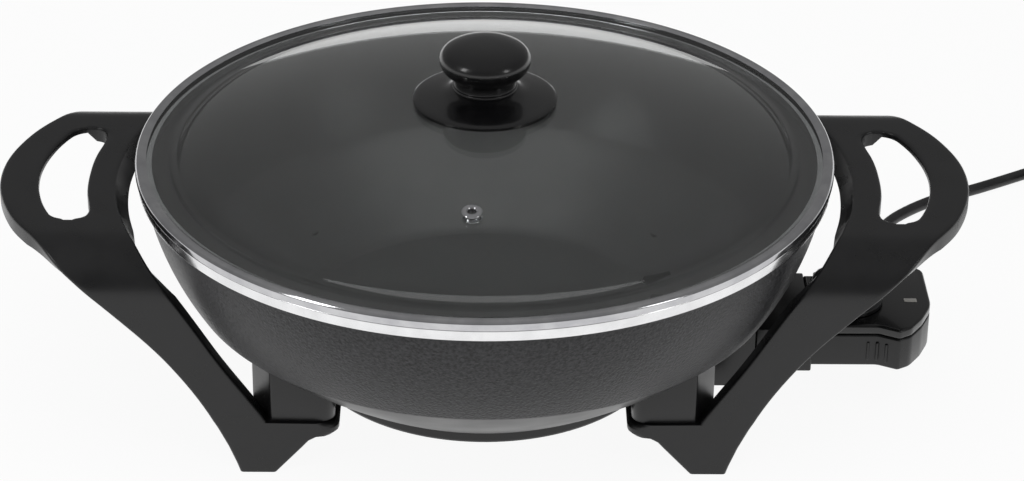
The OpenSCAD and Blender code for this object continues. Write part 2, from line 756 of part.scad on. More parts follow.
module control_bottom() {
    color("black") difference() {
        union() {
            translate([0, 0, ctl_z0]) linear_extrude(split_z - ctl_z0) polygon(ctl_plan);
            translate([collar_x, -collar_half, collar_z0])
                cube([collar_t, 2 * collar_half, ctl_z1 - clear - collar_z0]);
            translate([nose_x0, -nose_half, nose_z0])
                cube([collar_x - nose_x0 + 1, 2 * nose_half, nose_z1 - nose_z0]);
            translate([collar_x + 1, 2 - ctl_half, ctl_z0 + 2])
                cube([collar_t + 1, 2 * ctl_half - 4, split_z - ctl_z0 - 4]);
            for (i = [0:2]) translate([rib_x + 4.5 * i, -ctl_half - [0.8, 1.4, 3][i], ctl_z0 + 3.5])
                cube([1.4, 6, 10.5]);
        }
        for (y = [-1, 1])
            translate([nose_x0 - 1, y * pin_y, pin_z]) rotate([0, 90, 0])
                cylinder(d = sleeve_d + 2 * run, h = sleeve_x1 - nose_x0 + 1);
        translate([nose_x0 - 1, 0, probe_z]) rotate([0, 90, 0]) cylinder(d = probe_d + 2 * run, h = 20);
        translate([relief_x, relief_y0, relief_z]) rotate([-90, 0, 0])
            cylinder(d = relief_d + 2 * run, h = 30);
        translate([dial_x, 0, split_z - 6]) cylinder(d = shaft_d + 2 * run, h = 10);
    }
}

module control_top() {
    color("black") difference() {
        union() {
            translate([0, 0, split_z]) linear_extrude(ctl_z1 - bevel - split_z) polygon(ctl_plan);
            translate([0, 0, split_z]) linear_extrude(ctl_z1 - split_z) polygon(inset(ctl_plan, bevel));
        }
        translate([dial_x, 0, split_z - 1]) cylinder(d = shaft_d + 2 * run, h = 10);
        translate([lens_x - lens_l / 2 - run, -lens_w / 2 - run, ctl_z1 - 1])
            cube([lens_l + 2 * run, lens_w + 2 * run, 2]);
    }
}

module indicator_lens() {
    color("orangered") translate([lens_x - lens_l / 2, -lens_w / 2, ctl_z1 - 1])
        cube([lens_l, lens_w, 1.3]);
}

module probe_stem() {
    color("silver") translate([probe_x0, 0, probe_z]) rotate([0, 90, 0]) {
        cylinder(d1 = probe_d - 2, d2 = probe_d, h = 1.5);
        translate([0, 0, 1.5]) cylinder(d = probe_d, h = nose_x0 + 18 - probe_x0 - 1.5);
    }
}

module contact_sleeves() {
    color("gold") for (y = [-1, 1])
        translate([nose_x0 + 1, y * pin_y, pin_z]) rotate([0, 90, 0]) difference() {
            cylinder(d = sleeve_d, h = sleeve_x1 - nose_x0 - 1);
            translate([0, 0, -1]) cylinder(d = pin_d + 2 * clear, h = sleeve_x1 - nose_x0 - 1);
        }
}

module dial() {
    dial_z = ctl_z1 + clear;
    color("black") difference() {
        translate([dial_x, 0, dial_z]) rotate_extrude() polygon([
            [0, 0], [dial_r, 0], [dial_r, 2], [dial_r - 1.2, 3.2], [dial_r - 2, dial_h - 1.2],
            [dial_r - 3.2, dial_h], [0, dial_h]
        ]);
        translate([dial_x, 0, dial_z - 1]) cylinder(d = shaft_d + 2 * run, h = dial_h - 3);
        for (a = [0:15:345]) rotate_about(dial_x, a)
            translate([dial_r - 0.6, 0, dial_z + 3]) cylinder(d = 1.8, h = dial_h, $fn = 16);
        translate([dial_x - dial_r + 4, -0.8, dial_z + dial_h - 0.8]) cube([9, 1.6, 2]);
    }
}
// Turns its children by a about the upright line at x
module rotate_about(x, a) {
    translate([x, 0, 0]) rotate([0, 0, a]) children();
}

module dial_shaft() {
    color("silver") translate([dial_x, 0, split_z - 5])
        cylinder(d = shaft_d, h = ctl_z1 + clear + dial_h - split_z);
}

// ==================== cord ====================
module strain_relief() {
    n = relief_len;
    r = relief_d / 2;
    color("black") translate([relief_x, relief_y0, relief_z]) rotate([-90, 0, 0]) rotate_extrude($fn = 48)
        polygon(concat(
            [[0, 0], [r, 0], [r, 8]],
            [for (i = [0:4]) each [
                [r - 0.2 * i, 10 + i * 4], [r - 1.1 - 0.12 * i, 10.6 + i * 4],
                [r - 1.1 - 0.12 * i, 12 + i * 4], [r - 0.1 - 0.2 * i, 12.6 + i * 4]
            ]],
            [[r - 1.1, 6 + n - 1], [r - 1.5, 6 + n], [0, 6 + n]]
        ));
}

module cord_run() {
    color("black") tube(run_path, cord_d, 8);
}

module cord_coil() {
    color("black") tube(coil_path, cord_d, 6);
}

// Radii and heights that the coil fills where the tie goes round it
tie_r0 = coil_r - coil_pitch * (coil_a0 - tie_a + 720) / 360 - cord_d / 2 - clear;
tie_r1 = coil_r - coil_pitch * (coil_a0 - tie_a + 360) / 360 + cord_d / 2 + clear;
tie_z0 = coil_z - cord_d / 2 - clear;
tie_z1 = coil_z + coil_pitch + cord_d / 2 + clear;

module coil_tie() {
    color("dimgray") translate([coil_c[0], coil_c[1], 0]) rotate([0, 0, tie_a])
        translate([0, tie_w / 2, 0]) rotate([90, 0, 0]) linear_extrude(tie_w) difference() {
            translate([tie_r0 - tie_t, tie_z0 - tie_t])
                square([tie_r1 - tie_r0 + 2 * tie_t, tie_z1 - tie_z0 + 2 * tie_t]);
            translate([tie_r0, tie_z0]) square([tie_r1 - tie_r0, tie_z1 - tie_z0]);
        }
}

plug_len = 50;
plug_pin_x = 9.5;
plug_pin_d = 4.8;
clip_y = plug_r - 3.7;
clip_z = plug_len - 15;
module at_plug() {
    translate(tail_end) rotate([90, 0, 0]) children();
}

module plug_body() {
    color("black") at_plug() difference() {
        rotate_extrude() polygon([
            [0, 0], [4.6, 0], [5.6, 3], [6.6, 12], [9.5, 17], [15.6, 21], [plug_r - 0.8, 25],
            [plug_r, 28], [plug_r, plug_len], [0, plug_len]
        ]);
        for (x = [-1, 1]) translate([x * plug_pin_x, 0, plug_len - 12])
            cylinder(d = plug_pin_d + 2 * run, h = 20);
        for (y = [0, 1]) mirror([0, y, 0]) translate([-3.6, clip_y, clip_z - 1]) cube([7.2, 20, 30]);
    }
}

module plug_pins() {
    color("gainsboro") at_plug() for (x = [-1, 1]) translate([x * plug_pin_x, 0, plug_len - 12]) {
        cylinder(d = plug_pin_d, h = 30);
        translate([0, 0, 30]) cylinder(d1 = plug_pin_d, d2 = plug_pin_d - 1.8, h = 1);
    }
}

module plug_earth_clips() {
    color("gainsboro") at_plug() for (y = [0, 1]) mirror([0, y, 0])
        translate([-3, clip_y, clip_z]) cube([6, 1, plug_len - clip_z]);
}

wok_pan();
heating_element();
base_cover();
terminal_pins();
pin_bushings();
socket_guard();
guard_screws();
color("#2b2b2b") mirror([1, 0, 0]) handle_leg();  // handle_leg_left
color("#2b2b2b") handle_leg();  // handle_leg_right
color("black") mirror([1, 0, 0]) mirror([0, 1, 0]) block();  // block_front_left
color("black") mirror([0, 1, 0]) block();  // block_front_right
color("black") mirror([1, 0, 0]) block();  // block_rear_left
color("black") block();  // block_rear_right
frame_screws();
lid_glass();
lid_ring();
vent_eyelet();
knob_skirt();
knob_grip();
knob_screw();
knob_washer();
control_bottom();
control_top();
indicator_lens();
probe_stem();
contact_sleeves();
dial();
dial_shaft();
strain_relief();
cord_run();
cord_coil();
coil_tie();
plug_body();
plug_pins();
plug_earth_clips();
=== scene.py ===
"""Looks of an electric wok: its finishes, fine meshes, cord, studio and camera.

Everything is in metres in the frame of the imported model. Sizes written in this
file are in millimetres and go through MM.
"""

from __future__ import annotations

import logging
import math
from dataclasses import dataclass
from enum import Enum

import bmesh
import bpy
from mathutils import Matrix, Vector


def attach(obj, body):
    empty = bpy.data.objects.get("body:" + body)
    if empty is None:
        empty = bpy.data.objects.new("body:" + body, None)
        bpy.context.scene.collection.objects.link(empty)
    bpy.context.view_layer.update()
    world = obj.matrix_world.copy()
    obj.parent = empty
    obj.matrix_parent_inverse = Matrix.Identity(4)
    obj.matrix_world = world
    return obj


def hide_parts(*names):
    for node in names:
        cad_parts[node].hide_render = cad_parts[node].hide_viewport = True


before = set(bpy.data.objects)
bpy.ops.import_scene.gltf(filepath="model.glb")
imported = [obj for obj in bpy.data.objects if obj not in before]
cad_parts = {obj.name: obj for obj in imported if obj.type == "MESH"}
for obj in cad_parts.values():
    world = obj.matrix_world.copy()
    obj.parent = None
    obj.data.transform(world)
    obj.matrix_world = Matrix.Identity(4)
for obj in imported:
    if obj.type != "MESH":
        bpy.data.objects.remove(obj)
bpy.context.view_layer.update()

MM = 0.001
LOG = logging.getLogger("wok")
Point = tuple[float, float]
Socket = bpy.types.NodeSocket
Tree = bpy.types.NodeTree
Mesh = bpy.types.Mesh
Object = bpy.types.Object


# ---------------------------------------------------------------- materials


def linear(code: str) -> tuple[float, float, float, float]:
    """Turns an sRGB hex colour into linear RGBA.

    Args:
        code: the colour, such as "#1c1c1e".

    Returns:
        Red, green, blue and an alpha of 1, each from 0 to 1.
    """
    parts = [int(code[i : i + 2], 16) / 255 for i in (1, 3, 5)]
    channels = [c / 12.92 if c <= 0.04045 else ((c + 0.055) / 1.055) ** 2.4 for c in parts]
    return (*channels, 1.0)


def add(tree: Tree, kind: str, inputs: dict | None = None, **settings: object) -> bpy.types.Node:
    """Adds one node with its settings and links.

    Args:
        tree: the node tree that gets the node.
        kind: the node's type name.
        inputs: a value or a socket for each input, by name or number.
        **settings: the node's own properties.

    Returns:
        The new node.
    """
    node = tree.nodes.new(kind)
    for name, value in settings.items():
        setattr(node, name, value)
    for key, value in (inputs or {}).items():
        if isinstance(value, Socket):
            tree.links.new(value, node.inputs[key])
        else:
            node.inputs[key].default_value = value
    return node


def emptied(holder: bpy.types.Material | bpy.types.World) -> Tree:
    """Empties the node tree of a material or a world.

    Args:
        holder: the material or the world.

    Returns:
        The tree, turned on and without nodes.
    """
    holder.use_nodes = True
    holder.node_tree.nodes.clear()
    return holder.node_tree


def maths(tree: Tree, operation: str, a: float | Socket, b: float | Socket) -> Socket:
    """Adds one operation on two numbers."""
    return add(tree, "ShaderNodeMath", {0: a, 1: b}, operation=operation).outputs[0]


def noise(tree: Tree, where: Socket, size_mm: float, detail: float) -> Socket:
    """Adds a noise with patches of a size in millimetres."""
    scale = 1 / (size_mm * MM)
    return add(tree, "ShaderNodeTexNoise", {"Vector": where, "Scale": scale, "Detail": detail}).outputs["Fac"]


def spread(tree: Tree, value: Socket, given: Point, wanted: Point = (0.0, 1.0), **settings: object) -> Socket:
    """Maps the range given of a value onto the range wanted."""
    inputs = {"Value": value, "From Min": given[0], "From Max": given[1], "To Min": wanted[0], "To Max": wanted[1]}
    return add(tree, "ShaderNodeMapRange", inputs, **settings).outputs["Result"]


def mixed(tree: Tree, share: float | Socket, first: Socket, second: Socket) -> Socket:
    """Adds a mix of two shaders."""
    return add(tree, "ShaderNodeMixShader", {0: share, 1: first, 2: second}).outputs[0]


@dataclass(frozen=True)
class Finish:
    """One surface finish, named for the real material and how it was made.

    Attributes:
        name: the material's name.
        colour: base colour as sRGB hex.
        fleck: second colour that a slow noise mixes in.
        roughness: mean roughness.
        wander: how far the roughness goes either side of its mean.
        metallic: 1 for bare metal.
        ior: index of refraction, for what isn't metal.
        coat: weight of a clear top layer.
        coat_roughness: roughness of that layer.
        grain_mm: size of the bumps, 0 for none.
        grain_depth_mm: height of the bumps.
        patch_mm: size of the patches in which colour and roughness wander.
        transmission: 1 for clear glass.
        anisotropic: stretch of highlights along a turned surface.
    """

    name: str
    colour: str
    fleck: str
    roughness: float
    wander: float = 0.0
    metallic: float = 0.0
    ior: float = 1.5
    coat: float = 0.0
    coat_roughness: float = 0.03
    grain_mm: float = 0.0
    grain_depth_mm: float = 0.0
    patch_mm: float = 12.0
    transmission: float = 0.0
    anisotropic: float = 0.0

    def build(self) -> bpy.types.Material:
        """Makes the material once and returns it.

        Returns:
            The material, shared by every piece with this finish.
        """
        known = bpy.data.materials.get(self.name)
        if known:
            return known
        material = bpy.data.materials.new(self.name)
        tree = emptied(material)
        where = add(tree, "ShaderNodeTexCoord").outputs["Object"]
        patches = noise(tree, where, self.patch_mm, 3.0)
        tints = {"Factor": spread(tree, patches, (0.35, 0.65)), "A": linear(self.colour), "B": linear(self.fleck)}
        colour = add(tree, "ShaderNodeMix", tints, data_type="RGBA").outputs["Result"]
        ends = (self.roughness - self.wander, self.roughness + self.wander)
        inputs = {
            "Base Color": colour,
            "Roughness": spread(tree, patches, (0.3, 0.7), ends),
            "Metallic": self.metallic,
            "Coat Weight": self.coat,
            "Coat Roughness": self.coat_roughness,
            "Transmission Weight": self.transmission,
            "Anisotropic": self.anisotropic,
        }
        if not self.metallic:
            inputs["IOR"] = self.ior
        if self.grain_mm:
            inputs["Normal"] = self.grain(tree, where)
        shader = add(tree, "ShaderNodeBsdfPrincipled", inputs)
        add(tree, "ShaderNodeOutputMaterial", {"Surface": shader.outputs["BSDF"]})
        return material

    def grain(self, tree: Tree, where: Socket) -> Socket:
        """Adds the bumps of the finish.

        Args:
            tree: the material's node tree.
            where: the Object coordinates.

        Returns:
            The bumped normal.
        """
        bumps = noise(tree, where, self.grain_mm, 2.0)
        return add(tree, "ShaderNodeBump", {"Height": bumps, "Distance": self.grain_depth_mm * MM}).outputs["Normal"]


class Finishes(Enum):
    """The finishes of the wok."""

    # Sprayed non-stick coating with a leather-like grain: dull, with a broken soft sheen
    TEXTURED_COAT = Finish("sprayed_textured_coating", "#1a1a1b", "#3c3c3e", 0.4, 0.06, ior=1.38,
                           grain_mm=1.3, grain_depth_mm=0.5, patch_mm=1.6)
    # The same coating on the smooth lower part of the bowl: darker, with clear soft highlights
    SMOOTH_COAT = Finish("sprayed_smooth_coating", "#131314", "#18181a", 0.36, 0.04, ior=1.38,
                         grain_mm=0.9, grain_depth_mm=0.012, patch_mm=30)
    # Non-stick inside: a fine even satin that blurs what it mirrors
    INNER_COAT = Finish("non_stick_inner_coating", "#333334", "#3b3b3c", 0.4, 0.03, grain_mm=0.7,
                        grain_depth_mm=0.01, patch_mm=40)
    # Turned and polished cast aluminium: bright, with faint lines along the turning
    POLISHED_ALUMINIUM = Finish("turned_polished_aluminium", "#f2f2f3", "#e8e8e9", 0.16, 0.04, metallic=1.0,
                                grain_mm=2.5, grain_depth_mm=0.004, anisotropic=0.3)
    # Rolled polished stainless steel: mirrors the room with slight waves
    POLISHED_STEEL = Finish("rolled_polished_stainless_steel", "#cdcdcf", "#bdbdc0", 0.12, 0.03, metallic=1.0,
                            grain_mm=9.0, grain_depth_mm=0.01)
    # Tempered glass: clear and very smooth
    TEMPERED_GLASS = Finish("tempered_clear_glass", "#fbfdfc", "#fbfdfc", 0.0, transmission=1.0)
    # Phenolic moulding from a satin tool: near black, soft highlights with faint flow marks
    SATIN_PHENOLIC = Finish("moulded_satin_phenolic", "#121213", "#181819", 0.3, 0.05, grain_mm=0.8,
                            grain_depth_mm=0.012, patch_mm=18)
    # Phenolic moulding from a polished tool: black with clear highlights
    GLOSS_PHENOLIC = Finish("moulded_gloss_phenolic", "#0a0a0b", "#0e0e0f", 0.24, 0.03, coat=0.3,
                            coat_roughness=0.05, patch_mm=14)
    # Enamelled steel cover: black, evenly satin
    BLACK_ENAMEL = Finish("baked_black_enamel", "#0e0e0f", "#131314", 0.35, 0.04, grain_mm=1.2,
                          grain_depth_mm=0.015)
    # Plain zinc-plated steel: grey, dull, slightly cloudy
    PLATED_STEEL = Finish("zinc_plated_steel", "#a9abad", "#8e9092", 0.32, 0.08, metallic=1.0, patch_mm=3)
    # Nickel-plated brass of pins: warm silver, smooth
    NICKEL_PLATE = Finish("nickel_plated_brass", "#cfc9bd", "#beb8ab", 0.18, 0.04, metallic=1.0, patch_mm=5)
    # Glazed ceramic of the bushings: warm white with a wet shine
    GLAZED_CERAMIC = Finish("glazed_ceramic", "#e8e2d4", "#ddd6c6", 0.18, 0.03, patch_mm=4)
    # Flexible PVC jacket: black, faintly dusty, finely grained by its drawing
    CORD_JACKET = Finish("extruded_pvc_jacket", "#1d1d1e", "#262627", 0.42, 0.05, grain_mm=1.4,
                         grain_depth_mm=0.03, patch_mm=9)
    # Silicone washer: dull dark rubber
    SILICONE = Finish("pressed_silicone_rubber", "#242425", "#2b2b2c", 0.6, 0.05, patch_mm=6)
    # Smoky polycarbonate of the lamp's lens: pale and waxy, unlit
    SMOKED_LENS = Finish("smoked_polycarbonate", "#b9b7b2", "#aaa8a3", 0.2, 0.02, patch_mm=3)

    @property
    def material(self) -> bpy.types.Material:
        """The finish's material."""
        return self.value.build()


# ---------------------------------------------------------------- mesh tools


def rounded(points: list[tuple[float, ...]], steps: int = 5, closed: bool = True) -> list[Point]:
    """Rounds the corners of an outline.

    Args:
        points: (x, y) for a sharp corner or (x, y, radius) for a round one.
        steps: how many stretches each round corner gets.
        closed: whether the last point joins the first.

    Returns:
        The points of the rounded outline.
    """
    out: list[Point] = []
    count = len(points)
    for i, (x, y, *rest) in enumerate(points):
        here, radius = Vector((x, y)), rest[0] if rest else 0.0
        back = Vector(points[i - 1][:2]) - here
        ahead = Vector(points[(i + 1) % count][:2]) - here
        straight = abs(back.cross(ahead)) < 1e-6
        if radius <= 0 or straight or (not closed and i in (0, count - 1)):
            out.append((x, y))
            continue
        half = back.angle(ahead) / 2
        reach = min(radius / math.tan(half), 0.49 * back.length, 0.49 * ahead.length)
        radius = reach * math.tan(half)
        centre = here + (back.normalized() + ahead.normalized()).normalized() * (radius / math.sin(half))
        first = here + back.normalized() * reach - centre
        turn = first.angle_signed(here + ahead.normalized() * reach - centre)
        for k in range(steps + 1):
            spin = Matrix.Rotation(-turn * k / steps, 2)
            out.append(tuple(centre + spin @ first))
    return out


def smooth(points: list[tuple[float, ...]], steps: int) -> list[tuple[float, ...]]:
    """Draws a smooth curve through points.

    Args:
        points: the points, of two or three numbers.
        steps: stretches between each pair.

    Returns:
        The curve's points, both ends among them.
    """
    knots = [Vector(p) for p in points]
    ends = [2 * knots[0] - knots[1], *knots, 2 * knots[-1] - knots[-2]]
    out = []
    for i in range(len(knots) - 1):
        a, b, c, d = ends[i : i + 4]
        for k in range(steps):
            u = k / steps
            out.append(tuple(0.5 * (2 * b + (c - a) * u + (2 * a - 5 * b + 4 * c - d) * u * u
                                    + (3 * b - a - 3 * c + d) * u**3)))
    return out + [tuple(knots[-1])]


def linked(name: str, data: bpy.types.ID) -> Object:
    """Makes an object of its data and links it to the scene.

    Args:
        name: its name.
        data: its mesh, lamp or camera.

    Returns:
        The object.
    """
    made = bpy.data.objects.new(name, data)
    bpy.context.scene.collection.objects.link(made)
    return made


def place(mesh: Mesh, name: str, looks: list[Finishes], body: str, slot: str, *nodes: str,
          sharp: float = 34.0) -> Object:
    """Makes a piece of a mesh, smooth except at its sharp edges, instead of CAD nodes.

    Args:
        mesh: the mesh, in metres.
        name: the piece's name.
        looks: its finishes, in the order of the faces' material numbers.
        body: the CAD body that it rides on.
        slot: the record's material slot, not used.
        *nodes: the CAD nodes that it replaces.
        sharp: faces that meet at more than this angle, in degrees, stay sharp.

    Returns:
        The piece, linked to the scene.
    """
    for finish in looks:
        mesh.materials.append(finish.material)
    mesh.polygons.foreach_set("use_smooth", [True] * len(mesh.polygons))
    mesh.set_sharp_from_angle(angle=math.radians(sharp))
    piece = linked(name, mesh)
    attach(piece, body)
    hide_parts(*nodes)
    LOG.info("%s: %d faces, on %s", name, len(mesh.polygons), body)
    return piece


def mesh_of(points: list, faces: list, numbers: list[int] | None = None) -> Mesh:
    """Makes a mesh of points in millimetres.

    Args:
        points: the corners.
        faces: the faces, as tuples of point numbers.
        numbers: a material number for each face.

    Returns:
        The mesh, in metres.
    """
    mesh = bpy.data.meshes.new("mesh")
    mesh.from_pydata([Vector(p) * MM for p in points], [], faces)
    if numbers:
        mesh.polygons.foreach_set("material_index", numbers)
    mesh.update()
    return mesh


def lathe_mesh(outline: list[Point], turns: int, closed: bool = True, zones: list[int] | None = None) -> Mesh:
    """Turns an outline round the Z axis.

    Args:
        outline: (radius, height) points, anticlockwise round the solid's right half.
        turns: how many stretches go round.
        closed: whether the last point joins the first.
        zones: a material number for each stretch of the outline.

    Returns:
        The turned mesh.
    """
    points: list[tuple[float, float, float]] = []
    rings: list[list[int]] = []
    for radius, height in outline:
        if radius < 1e-6:
            rings.append([len(points)] * turns)
            points.append((0.0, 0.0, height))
            continue
        rings.append(list(range(len(points), len(points) + turns)))
        for k in range(turns):
            angle = 2 * math.pi * k / turns
            points.append((radius * math.cos(angle), radius * math.sin(angle), height))
    faces, numbers = [], []
    last = len(outline) if closed else len(outline) - 1
    for i in range(last):
        low, high = rings[i], rings[(i + 1) % len(outline)]
        for k in range(turns):
            n = (k + 1) % turns
            corners = list(dict.fromkeys((low[k], low[n], high[n], high[k])))
            if len(corners) > 2:
                faces.append(tuple(corners))
                numbers.append(zones[i] if zones else 0)
    return mesh_of(points, faces, numbers)


def stacked_mesh(rings: list[list]) -> Mesh:
    """Joins rings of as many points, from the lowest up, and closes both ends.

    Args:
        rings: the rings, each anticlockwise seen from the end of the stack.

    Returns:
        The solid's mesh.
    """
    count, faces = len(rings[0]), []
    for start in range(0, count * (len(rings) - 1), count):
        for i in range(count):
            a, b = start + i, start + (i + 1) % count
            faces.append((a, b, b + count, a + count))
    faces.append(tuple(reversed(range(count))))
    faces.append(tuple(range(count * (len(rings) - 1), count * len(rings))))
    return mesh_of([point for ring in rings for point in ring], faces)


def tube_mesh(path: list[Vector], radius: float, sides: int) -> Mesh:
    """Makes a tube along a path.

    Args:
        path: the points of its centre line, in millimetres.
        radius: the tube's radius.
        sides: how many sides go round.

    Returns:
        The tube, closed at both ends.
    """
    rings = []
    for i, here in enumerate(path):
        ahead = (path[min(i + 1, len(path) - 1)] - here).normalized() if i < len(path) - 1 else None
        behind = (here - path[i - 1]).normalized() if i else None
        way = ((ahead or behind) + (behind or ahead)).normalized()
        side = way.cross(Vector((0, 0, 1))).normalized()
        up = side.cross(way)
        angles = [2 * math.pi * k / sides for k in range(sides, 0, -1)]
        rings.append([here + radius * (math.cos(a) * side + math.sin(a) * up) for a in angles])
    return stacked_mesh(rings)


def prism_mesh(outline: list[Point], low: float, high: float, edge: float, steps: int) -> Mesh:
    """Makes an upright prism with rounded top and bottom edges.

    Args:
        outline: anticlockwise (x, y) points.
        low: height of its underside.
        high: height of its top.
        edge: radius of its top and bottom edges.
        steps: stretches in each rounded edge.

    Returns:
        The prism.
    """
    turn = [math.pi / 2 * k / steps for k in range(steps + 1)]
    levels = [(low + edge * (1 - math.sin(a)), edge * (1 - math.cos(a))) for a in reversed(turn)]
    levels += [(high - edge * (1 - math.sin(a)), edge * (1 - math.cos(a))) for a in turn]
    return stacked_mesh([[(x, y, height) for x, y in shrunk(outline, inset)] for height, inset in levels])


def shrunk(outline: list[Point], inset: float) -> list[Point]:
    """Draws a closed anticlockwise outline in by a distance.

    Args:
        outline: the points.
        inset: how far each side moves in.

    Returns:
        The smaller outline, with as many points.
    """
    out = []
    for i, here in enumerate(outline):
        before = (Vector(here) - Vector(outline[i - 1])).normalized()
        after = (Vector(outline[(i + 1) % len(outline)]) - Vector(here)).normalized()
        u, v = Vector((-before.y, before.x)), Vector((-after.y, after.x))
        out.append(tuple(Vector(here) + (u + v) * (inset / max(0.3, 1 + u.dot(v)))))
    return out


def baked(work: bmesh.types.BMesh) -> Mesh:
    """Turns an edited mesh into a plain one and frees it.

    Args:
        work: the edited mesh.

    Returns:
        The plain mesh.
    """
    out = bpy.data.meshes.new("mesh")
    work.to_mesh(out)
    work.free()
    return out


def joined(meshes: list[Mesh]) -> Mesh:
    """Puts several meshes in one.

    Args:
        meshes: the meshes, whose material numbers are kept.

    Returns:
        One mesh that holds them all.
    """
    work = bmesh.new()
    for mesh in meshes:
        work.from_mesh(mesh)
    return baked(work)


def moved(mesh: Mesh, matrix: Matrix) -> Mesh:
    """Moves a mesh in place.

    Args:
        mesh: the mesh.
        matrix: the move, in metres, which may mirror.

    Returns:
        The same mesh.
    """
    mesh.transform(matrix)
    if matrix.determinant() < 0:
        mesh.flip_normals()
    return mesh


def cylinder_mesh(radius: float, low: float, high: float, edge: float) -> Mesh:
    """Makes an upright cylinder on the Z axis with rounded rims."""
    side = [(0, low), (radius, low, edge), (radius, high, edge), (0, high)]
    return lathe_mesh(rounded(side, 3, closed=False), 32, closed=False)


def box_mesh(low: tuple[float, float, float], high: tuple[float, float, float], edge: float) -> Mesh:
    """Makes a box with rounded edges.

    Args:
        low: its lowest corner.
        high: its highest corner.
        edge: the radius of its edges.

    Returns:
        The box.
    """
    work = bmesh.new()
    bmesh.ops.create_cube(work, size=1.0)
    for v in work.verts:
        v.co = Vector([(lo if c < 0 else hi) * MM for c, lo, hi in zip(v.co, low, high)])
    bmesh.ops.bevel(work, geom=list(work.edges), offset=edge * MM, segments=3, profile=0.5, affect="EDGES")
    return baked(work)


def cad_copy(node: str, edge: float) -> Mesh:
    """Copies a CAD node's mesh with its seams merged and its edges rounded.

    Args:
        node: the node's name.
        edge: the radius of its sharp edges.

    Returns:
        The copy.
    """
    work = bmesh.new()
    work.from_mesh(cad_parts[node].data)
    bmesh.ops.remove_doubles(work, verts=work.verts, dist=1e-6)
    bmesh.ops.dissolve_limit(work, angle_limit=math.radians(1), verts=work.verts, edges=work.edges)
    sharp = [e for e in work.edges if e.is_manifold and e.calc_face_angle(0) > math.radians(50)]
    bmesh.ops.bevel(work, geom=sharp, offset=edge * MM, segments=2, profile=0.5, affect="EDGES",
                    clamp_overlap=True)
    return baked(work)


def ring_of_copies(name: str, shape: Mesh, count: int, radius: float, finish: Finishes) -> Mesh:
    """Stands copies of a shape in a ring round the Z axis with Geometry Nodes.

    Args:
        name: the tree's name.
        shape: what is repeated, at the origin and facing +X.
        count: how many copies.
        radius: the ring's radius in millimetres.
        finish: the copies' finish.

    Returns:
        A plain mesh of all copies.
    """
    tree = bpy.data.node_groups.new(name, "GeometryNodeTree")
    tree.interface.new_socket("Shape", in_out="INPUT", socket_type="NodeSocketGeometry")
    sockets = {
        label: tree.interface.new_socket(label, in_out="INPUT", socket_type=kind)
        for label, kind in (("Count", "NodeSocketInt"), ("Radius", "NodeSocketFloat"),
                            ("Finish", "NodeSocketMaterial"))
    }
    tree.interface.new_socket("Ring", in_out="OUTPUT", socket_type="NodeSocketGeometry")
    given = add(tree, "NodeGroupInput").outputs
    circle = add(tree, "GeometryNodeMeshCircle", {"Vertices": given["Count"], "Radius": given["Radius"]})
    index = add(tree, "GeometryNodeInputIndex").outputs[0]
    angle = maths(tree, "MULTIPLY", index, maths(tree, "DIVIDE", 2 * math.pi, given["Count"]))
    spin = add(tree, "ShaderNodeCombineXYZ", {"Z": angle}).outputs[0]
    copies = add(tree, "GeometryNodeInstanceOnPoints",
                 {"Points": circle.outputs["Mesh"], "Instance": given["Shape"], "Rotation": spin})
    real = add(tree, "GeometryNodeRealizeInstances", {"Geometry": copies.outputs[0]})
    dressed = add(tree, "GeometryNodeSetMaterial", {"Geometry": real.outputs[0], "Material": given["Finish"]})
    add(tree, "NodeGroupOutput", {0: dressed.outputs[0]})
    holder = linked(name, shape)
    modifier = holder.modifiers.new("copies", "NODES")
    modifier.node_group = tree
    for label, value in (("Count", count), ("Radius", radius * MM), ("Finish", finish.material)):
        modifier[sockets[label].identifier] = value
    bpy.context.view_layer.update()
    seen = holder.evaluated_get(bpy.context.evaluated_depsgraph_get())
    out = bpy.data.meshes.new_from_object(seen)
    holder.modifiers.remove(modifier)
    bpy.data.objects.remove(holder)
    out.materials.clear()
    return out


def circle_through(a: Point, b: Point, c: Point) -> tuple[Vector, float]:
    """Finds the circle through three points.

    Args:
        a: the first point.
        b: the second point.
        c: the third point.

    Returns:
        Its centre and radius.
    """
    d = 2 * (a[0] * (b[1] - c[1]) + b[0] * (c[1] - a[1]) + c[0] * (a[1] - b[1]))
    squares = [p[0] ** 2 + p[1] ** 2 for p in (a, b, c)]
    x = (squares[0] * (b[1] - c[1]) + squares[1] * (c[1] - a[1]) + squares[2] * (a[1] - b[1])) / d
    y = (squares[0] * (c[0] - b[0]) + squares[1] * (a[0] - c[0]) + squares[2] * (b[0] - a[0])) / d
    return Vector((x, y)), math.dist((x, y), a)


# ---------------------------------------------------------------- bowl


